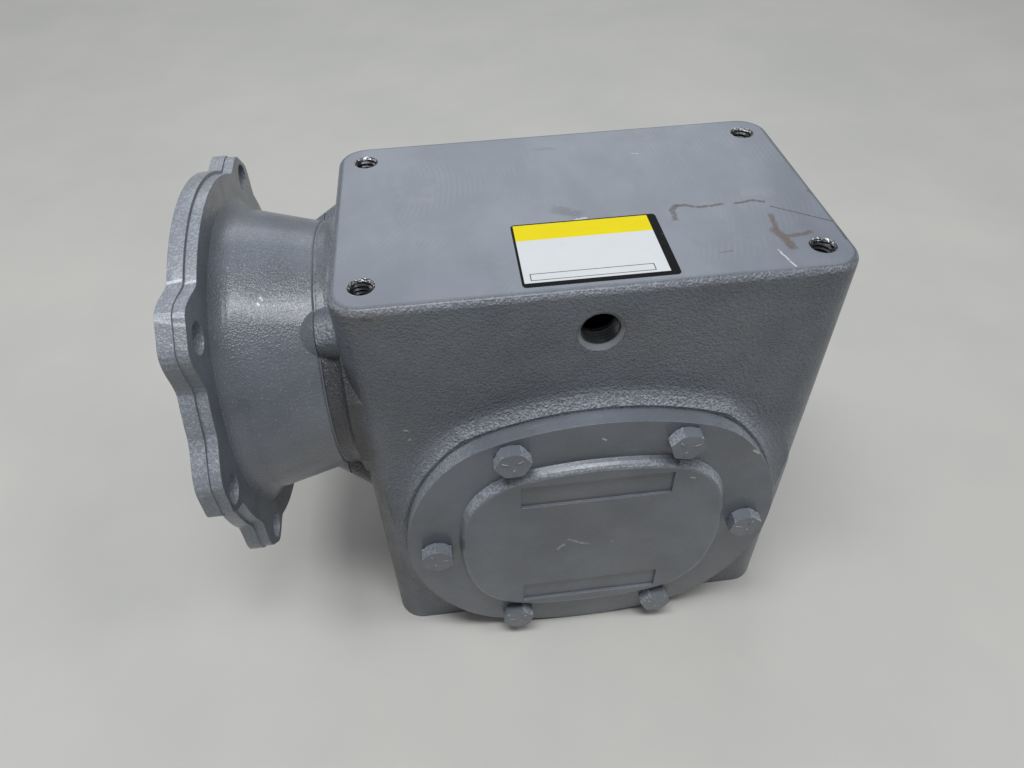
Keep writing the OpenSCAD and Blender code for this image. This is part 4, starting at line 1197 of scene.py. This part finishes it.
@dataclass
class Label:
    """A blank printed film on the machined top: black card, yellow head, white field.

    Attributes:
        low: The card's near left corner.
        high: Its far right corner.
        print_low: Near left corner of the printed field.
        print_high: Far right corner of the printed field.
        box: Empty outlined box on the field: left, near, right, far.
        line: Width of the box's outline.
        head: Depth of the yellow head.
        level: Height of the machined top.
        thick: Thickness of the card.
        sunk: How far the card's foot lies in the top.
        corner: Radius of its corners.
        bevel: Width of the slope along its upper edge.
        blur: Softness of the print's edges.
    """

    low: Spot = (-26.8, -51.9)
    high: Spot = (27.6, -13.9)
    print_low: Spot = (-25.9, -49.7)
    print_high: Spot = (24.3, -14.6)
    box: tuple[float, float, float, float] = (-23.6, -48.5, 19.6, -44.6)
    line: float = 0.3
    head: float = 10.0
    level: float = 200.0
    thick: float = 0.12
    sunk: float = 0.02
    corner: float = 1.6
    bevel: float = 0.05
    blur: float = 0.05

    def inside(self, shader: Shader, low: Spot, high: Spot) -> Socket:
        """Finds a rectangle on the card.

        Args:
            shader: The material being built.
            low: Its near left corner.
            high: Its far right corner.

        Returns:
            1 inside it and 0 outside.
        """
        shares = []
        for value, first, last in zip(shader.split(shader.place), low, high):
            gap = shader.math("ABSOLUTE", shader.apart(value, (first + last) / 2))
            edge = (last - first) / 2
            shares.append(shader.span(gap, edge + self.blur, edge - self.blur))
        return shader.times(*shares)

    def film(self) -> bpy.types.Material:
        """Builds the printed film's finish.

        Returns:
            The material.
        """
        shader = Shader("printed film")
        _, y, _ = shader.split(shader.place)
        sheen = shader.noise(Mottle(9))
        white = shader.blend(sheen, srgb(204, 207, 209), srgb(214, 216, 218))
        yellow = shader.blend(sheen, srgb(224, 203, 10), srgb(232, 214, 26))
        top, line = self.print_high[1] - self.head, self.line
        colour = shader.blend(shader.span(y, top - self.blur, top + self.blur), white, yellow)
        left, near, right, far = self.box
        outer = self.inside(shader, (left, near), (right, far))
        inner = self.inside(shader, (left + line, near + line), (right - line, far - line))
        outline = shader.math("SUBTRACT", outer, inner)
        field = self.inside(shader, self.print_low, self.print_high)
        field = shader.times(field, shader.rest_of(outline))
        chips = shader.patches(Mottle(3.2, 5, 0.75, 0.68, 0.71))
        black = shader.blend(chips, srgb(16, 16, 18), srgb(170, 172, 174))
        shader.set("Base Color", shader.blend(field, black, colour))
        shader.set("Roughness", shader.lerp(sheen, 0.5, 0.62))
        shader.set("Specular IOR Level", 0.12)
        shader.bump(shader.noise(Mottle(3.5)), 0.03)
        return shader.material

    def build(self) -> bpy.types.Object:
        """Lays the card on the top, its corners rounded.

        Returns:
            The label.
        """
        middle = [(first + last) / 2 for first, last in zip(self.low, self.high)]
        reach = [(last - first) / 2 - self.corner for first, last in zip(self.low, self.high)]
        rings = (
            (self.corner, -self.sunk),
            (self.corner, self.thick * 0.7),
            (self.corner - self.bevel, self.thick),
        )
        points: list[Point] = []
        for radius, lift in rings:
            for quarter, (across, along) in enumerate(((1, 1), (-1, 1), (-1, -1), (1, -1))):
                for k in range(7):
                    angle = math.radians(90 * quarter + 15 * k)
                    x = middle[0] + across * reach[0] + radius * math.cos(angle)
                    y = middle[1] + along * reach[1] + radius * math.sin(angle)
                    points.append((x, y, self.level + lift))
        n = len(points) // len(rings)
        faces: list[tuple[int, ...]] = []
        for first in (0, n):
            for k in range(n):
                a, b = first + k, first + (k + 1) % n
                faces.append((a, b, b + n, a + n))
        faces += [tuple(range(2 * n, 3 * n)), tuple(range(n - 1, -1, -1))]
        return mesh_piece("blank_label", points, faces, self.film(), smooth=False)


@dataclass
class Drive:
    """The worm, the wheel, the shafts, their bearings and the plugs.

    Attributes:
        steel: Colour of the ground shafts.
        race: Colour of the ball bearings.
        taper: Colour of the taper bearings.
    """

    steel: Tint = srgb(172, 172, 174)
    race: Tint = srgb(186, 187, 190)
    taper: Tint = srgb(184, 185, 188)

    def build(self, frame: dict) -> None:
        """Dresses the moving train.
        """
        balls = [f"{e}_bearing_{p}" for e in ("input", "end") for p in ("inner", "outer", "balls")]
        tapers = [f"{e}_bearing_{p}" for e in ("near", "far") for p in ("cone", "cup", "rollers")]
        cages = [f"{end}_bearing_cage" for end in ("input", "end", "near", "far")]
        for finish, names in (
            (Metal("ground worm steel", self.steel, 0.26), ["worm_shaft"]),
            (
                Metal("ground shaft steel", self.steel, 0.24, axis="Y"),
                ["output_shaft", "spacer_sleeve", "wheel_key"],
            ),
            (Metal("bearing steel", self.race, 0.16, 0.2), balls),
            (Metal("taper bearing steel", self.taper, 0.18, 0.2, "Y"), tapers),
            (Metal("pressed steel", srgb(150, 150, 150), 0.4, 0.5), cages),
            (Metal("bronze", srgb(196, 150, 84), axis="Y"), ["worm_wheel"]),
            (Metal("hub iron", srgb(92, 92, 94), 0.5, 0.5, "Y"), ["wheel_hub"]),
            (Enamel("enamel plugs", relief=0.05, grain=0.9), ["end_plug", "pipe_plugs"]),
        ):
            dress(frame, tuple(names), finish.make())


@dataclass(frozen=True)
class Lamp:
    """One soft area light, in metres.

    Attributes:
        name: The light's name.
        place: Where it hangs.
        size: Its width and height.
        power: Its power in watts.
        tint: Its colour.
        target: What it faces.
    """

    name: str
    place: Point
    size: Spot
    power: float
    tint: Tint = (0.97, 0.985, 1.0)
    target: Point = (0, 0, 0.1)

    def hang(self) -> None:
        """Adds the light to the scene."""
        data = bpy.data.lights.new(self.name, "AREA")
        data.shape = "RECTANGLE"
        data.size, data.size_y = self.size
        data.energy = self.power
        data.color = self.tint
        lamp = bpy.data.objects.new(self.name, data)
        lamp.location = self.place
        lamp.rotation_mode = "QUATERNION"
        toward = Vector(self.target) - Vector(self.place)
        lamp.rotation_quaternion = toward.to_track_quat("-Z", "Y")
        bpy.context.scene.collection.objects.link(lamp)


@dataclass
class Studio:
    """Pale floor, soft light and the camera that took the picture.

    Attributes:
        eye: Where the camera stands, in millimetres.
        right: Direction of the picture's right.
        down: Direction of the picture's foot.
        ahead: Direction of the view.
        lens: Focal length.
        sensor: Width of the camera's sensor.
        clip: Nearest and farthest distance seen, in metres.
        floor_reach: Half the floor's width, in metres.
        room_tint: Colour of the room's light.
        room_light: Strength of the room's light.
        lamps: The lights.
    """

    eye: Point = (-49.83, -250.44, 353.1)
    right: Point = (0.99292, -0.11613, -0.02483)
    down: Point = (-0.09925, -0.69670, -0.71046)
    ahead: Point = (0.06521, 0.70790, -0.70329)
    lens: float = 26.36
    sensor: float = 36.0
    clip: Band = (0.01, 50.0)
    floor_reach: float = 4.0
    room_tint: Tint = (0.96, 0.98, 1.0)
    room_light: float = 0.145
    lamps: tuple[Lamp, ...] = (
        Lamp("key", (1.4, -0.55, 2.1), (0.5, 0.5), 8),
        Lamp("ceiling", (-0.15, -0.45, 2.2), (1.6, 0.45), 35, (0.95, 0.975, 1.0)),
        Lamp("back window", (0.2, 2.6, 1.9), (2.4, 1.0), 17, (0.88, 0.94, 1.0)),
        Lamp("left window", (-2.1, 0.35, 1.3), (1.0, 0.8), 9),
    )

    def camera(self) -> None:
        """Places the camera."""
        data = bpy.data.cameras.new("camera")
        data.lens = self.lens
        data.sensor_width = self.sensor
        data.clip_start, data.clip_end = self.clip
        camera = bpy.data.objects.new("camera", data)
        columns = (Vector(self.right), -Vector(self.down), -Vector(self.ahead))
        turn = Matrix(columns).transposed().to_quaternion().to_matrix().to_4x4()
        camera.matrix_world = Matrix.Translation(Vector(self.eye) * MM) @ turn
        bpy.context.scene.collection.objects.link(camera)
        bpy.context.scene.camera = camera

    def floor(self) -> None:
        """Lays the pale floor."""
        shader = Shader("pale floor")
        clouds = shader.patches(Mottle(160, 5, 0.6, 0.25, 0.75))
        tone = shader.blend(clouds, srgb(190, 189, 184), srgb(199, 197, 191))
        fine = shader.noise(Mottle(5, 4, 0.6))
        grit = shader.blend(shader.times(fine, 0.12), tone, srgb(170, 169, 166))
        shader.set("Base Color", grit)
        shader.set("Roughness", 0.6)
        shader.bump(fine, 0.05, 0.5)
        mesh = bpy.data.meshes.new("floor")
        r = self.floor_reach
        corners = [(-r, -r, 0), (r, -r, 0), (r, r, 0), (-r, r, 0)]
        mesh.from_pydata(corners, [], [(0, 1, 2, 3)])
        mesh.materials.append(shader.material)
        floor = bpy.data.objects.new("floor", mesh)
        bpy.context.scene.collection.objects.link(floor)

    def build(self) -> None:
        """Sets up the camera, the floor and the light."""
        self.camera()
        self.floor()
        world = bpy.data.worlds.new("room")
        world.use_nodes = True
        back = world.node_tree.nodes["Background"]
        back.inputs["Color"].default_value = (*self.room_tint, 1.0)
        back.inputs["Strength"].default_value = self.room_light
        bpy.context.scene.world = world
        for lamp in self.lamps:
            lamp.hang()
        bpy.context.scene.view_settings.view_transform = "Standard"
        LOG.info("studio: camera, floor and %d lamps", len(self.lamps))


def main() -> None:
    """Builds the reducer's looks and the studio."""
    logging.basicConfig(level=logging.INFO, format="%(name)s: %(message)s")
    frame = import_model()
    Studio().build()
    Casing().build(frame)
    MotorSide().build(frame)
    closed = Enamel(
        "enamel cover",
        relief=0.1,
        grain=1.3,
        tone=0.86,
        dull=(0.3, 0.44),
        painted_glints=0.06,
        coat=0.5,
        surface_marks=COVER_SCUFFS,
        ledges=0.55,
    )
    opened = Enamel("enamel open cover", relief=0.1, grain=1.3, dull=(0.34, 0.5), painted_glints=0.06)
    paint = Enamel(
        "enamel bolts",
        relief=0.04,
        grain=0.8,
        tone=0.94,
        dull=(0.24, 0.38),
        painted_glints=0.2,
        coat=0.6,
        ledges=0.65,
    ).make()
    edge = Enamel("enamel over shims", relief=0.05, grain=0.9, tone=0.6).make()
    Cover(-1, "closed_cover", closed).build(frame, paint, edge)
    Cover(1, "open_cover", opened).build(frame, paint, edge)
    Label().build()
    Drive().build(frame)


if __name__ == "__main__":
    main()
